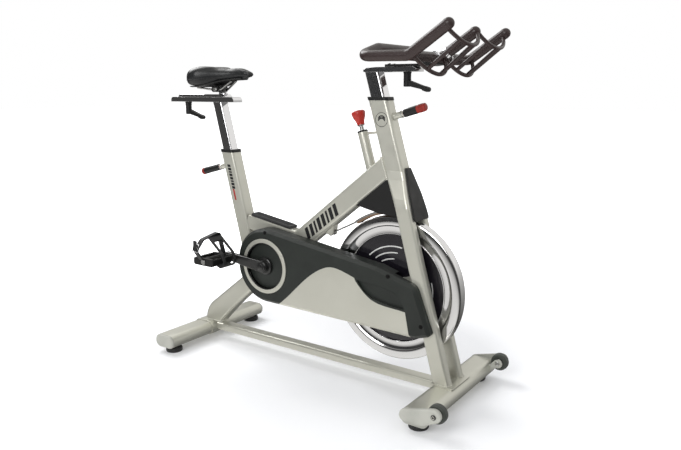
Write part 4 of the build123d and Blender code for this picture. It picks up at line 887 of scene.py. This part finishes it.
def studio_world():
    """White to the camera, a softer white on surfaces, and dark bands for shiny things to mirror."""
    scene = bpy.context.scene
    scene.view_settings.view_transform = "Standard"
    world = bpy.data.worlds.new("studio")
    scene.world = world
    world.use_nodes = True
    tree = world.node_tree
    seen = tree.nodes["Background"]
    seen.inputs["Color"].default_value = (1, 1, 1, 1)
    seen.inputs["Strength"].default_value = 1.0
    soft = tree.nodes.new("ShaderNodeBackground")
    soft.inputs["Color"].default_value = (0.97, 0.98, 1.0, 1)
    soft.inputs["Strength"].default_value = 0.55
    mirrored = tree.nodes.new("ShaderNodeBackground")
    rays = tree.nodes.new("ShaderNodeLightPath")
    coordinates = tree.nodes.new("ShaderNodeTexCoord")
    tilted = tree.nodes.new("ShaderNodeVectorMath")
    tilted.operation = "DOT_PRODUCT"
    tilted.inputs[1].default_value = (0.22, 0.385, 0.895)
    height = tree.nodes.new("ShaderNodeMapRange")
    height.inputs["From Min"].default_value = -1
    bands = tree.nodes.new("ShaderNodeValToRGB")
    ramp = bands.color_ramp
    tones = (
        (0.0, 0.9), (0.15, 0.85), (0.19, 0.45), (0.235, 0.07),
        (0.42, 0.03), (0.60, 0.30), (0.70, 0.50), (0.82, 0.9),
    )
    while len(ramp.elements) < len(tones):
        ramp.elements.new(0.5)
    for element, (position, tone) in zip(ramp.elements, tones):
        element.position = position
        element.color = (tone, tone * 0.985, tone * 0.95, 1)
    tree.links.new(coordinates.outputs["Generated"], tilted.inputs[0])
    tree.links.new(tilted.outputs["Value"], height.inputs["Value"])
    tree.links.new(height.outputs["Result"], bands.inputs["Fac"])
    tree.links.new(bands.outputs["Color"], mirrored.inputs["Color"])
    diffuse_or_mirror = tree.nodes.new("ShaderNodeMixShader")
    camera_or_other = tree.nodes.new("ShaderNodeMixShader")
    tree.links.new(rays.outputs["Is Glossy Ray"], diffuse_or_mirror.inputs[0])
    tree.links.new(soft.outputs[0], diffuse_or_mirror.inputs[1])
    tree.links.new(mirrored.outputs[0], diffuse_or_mirror.inputs[2])
    tree.links.new(rays.outputs["Is Camera Ray"], camera_or_other.inputs[0])
    tree.links.new(diffuse_or_mirror.outputs[0], camera_or_other.inputs[1])
    tree.links.new(seen.outputs[0], camera_or_other.inputs[2])
    tree.links.new(camera_or_other.outputs[0], tree.nodes["World Output"].inputs["Surface"])


def studio():
    """A pale floor, soft lights and dark cards that only shiny surfaces see."""
    bpy.ops.mesh.primitive_plane_add(size=60)
    floor = bpy.context.object
    floor.name = "studio_floor"
    pale = material("floor_white", (0.88, 0.885, 0.90), 0.8)
    shader_of(pale).inputs["Emission Color"].default_value = (1, 1, 1, 1)
    distance = add_node(pale, "ShaderNodeVectorMath", operation="LENGTH")
    link(pale, place(pale), distance.inputs[0])
    glow = spread(pale, distance.outputs["Value"], 0.10, 1.1, source=(0.65, 1.7))
    link(pale, glow, shader_of(pale).inputs["Emission Strength"])
    uneven_gloss(pale, 0.75, 0.9, 2)
    floor.data.materials.append(pale)
    floor.visible_glossy = False

    def area(name, place_at, size, power, mirrored=True):
        lamp = bpy.data.lights.new(name, "AREA")
        lamp.shape = "RECTANGLE"
        lamp.size, lamp.size_y = size
        lamp.energy = power
        light = bpy.data.objects.new(name, lamp)
        bpy.context.scene.collection.objects.link(light)
        light.location = place_at
        light.rotation_euler = (Vector((0, 0, 0.5)) - Vector(place_at)).to_track_quat("-Z", "Y").to_euler()
        light.visible_glossy = mirrored

    area("key_light", (-2.6, 0.4, 3.2), (2.2, 2.2), 85)
    area("fill_light", (0.2, -3.6, 2.2), (2.6, 1.8), 76)
    area("back_light", (1.6, 3.0, 2.6), (2.4, 1.6), 16, mirrored=False)

    def dark_card(name, place_at, size):
        bpy.ops.mesh.primitive_plane_add(size=1)
        card = bpy.context.object
        card.name = name
        card.scale = (*size, 1)
        card.location = place_at
        card.rotation_euler = (Vector((0, 0, 0.5)) - Vector(place_at)).to_track_quat("Z", "Y").to_euler()
        shade = material(name + "_shade", (0.02, 0.02, 0.02), 0.9)
        uneven_gloss(shade, 0.85, 0.95, 3)
        card.data.materials.append(shade)
        card.visible_camera = False
        card.visible_shadow = False
        card.visible_diffuse = False

    dark_card("card_front", (3.4, -1.6, 0.9), (0.9, 2.4))
    dark_card("card_side", (-1.6, -3.6, 0.9), (1.1, 2.4))
    dark_card("card_left", (-2.4, 3.2, 1.0), (1.4, 2.4))


studio_world()
studio()

camera_data = bpy.data.cameras.new("camera")
camera_data.lens = 35.59
camera = bpy.data.objects.new("camera", camera_data)
bpy.context.scene.collection.objects.link(camera)
camera.location = (1.36419, -1.76446, 0.9356)
camera.rotation_euler = (radians(78.65), 0, radians(35.03))
bpy.context.scene.camera = camera
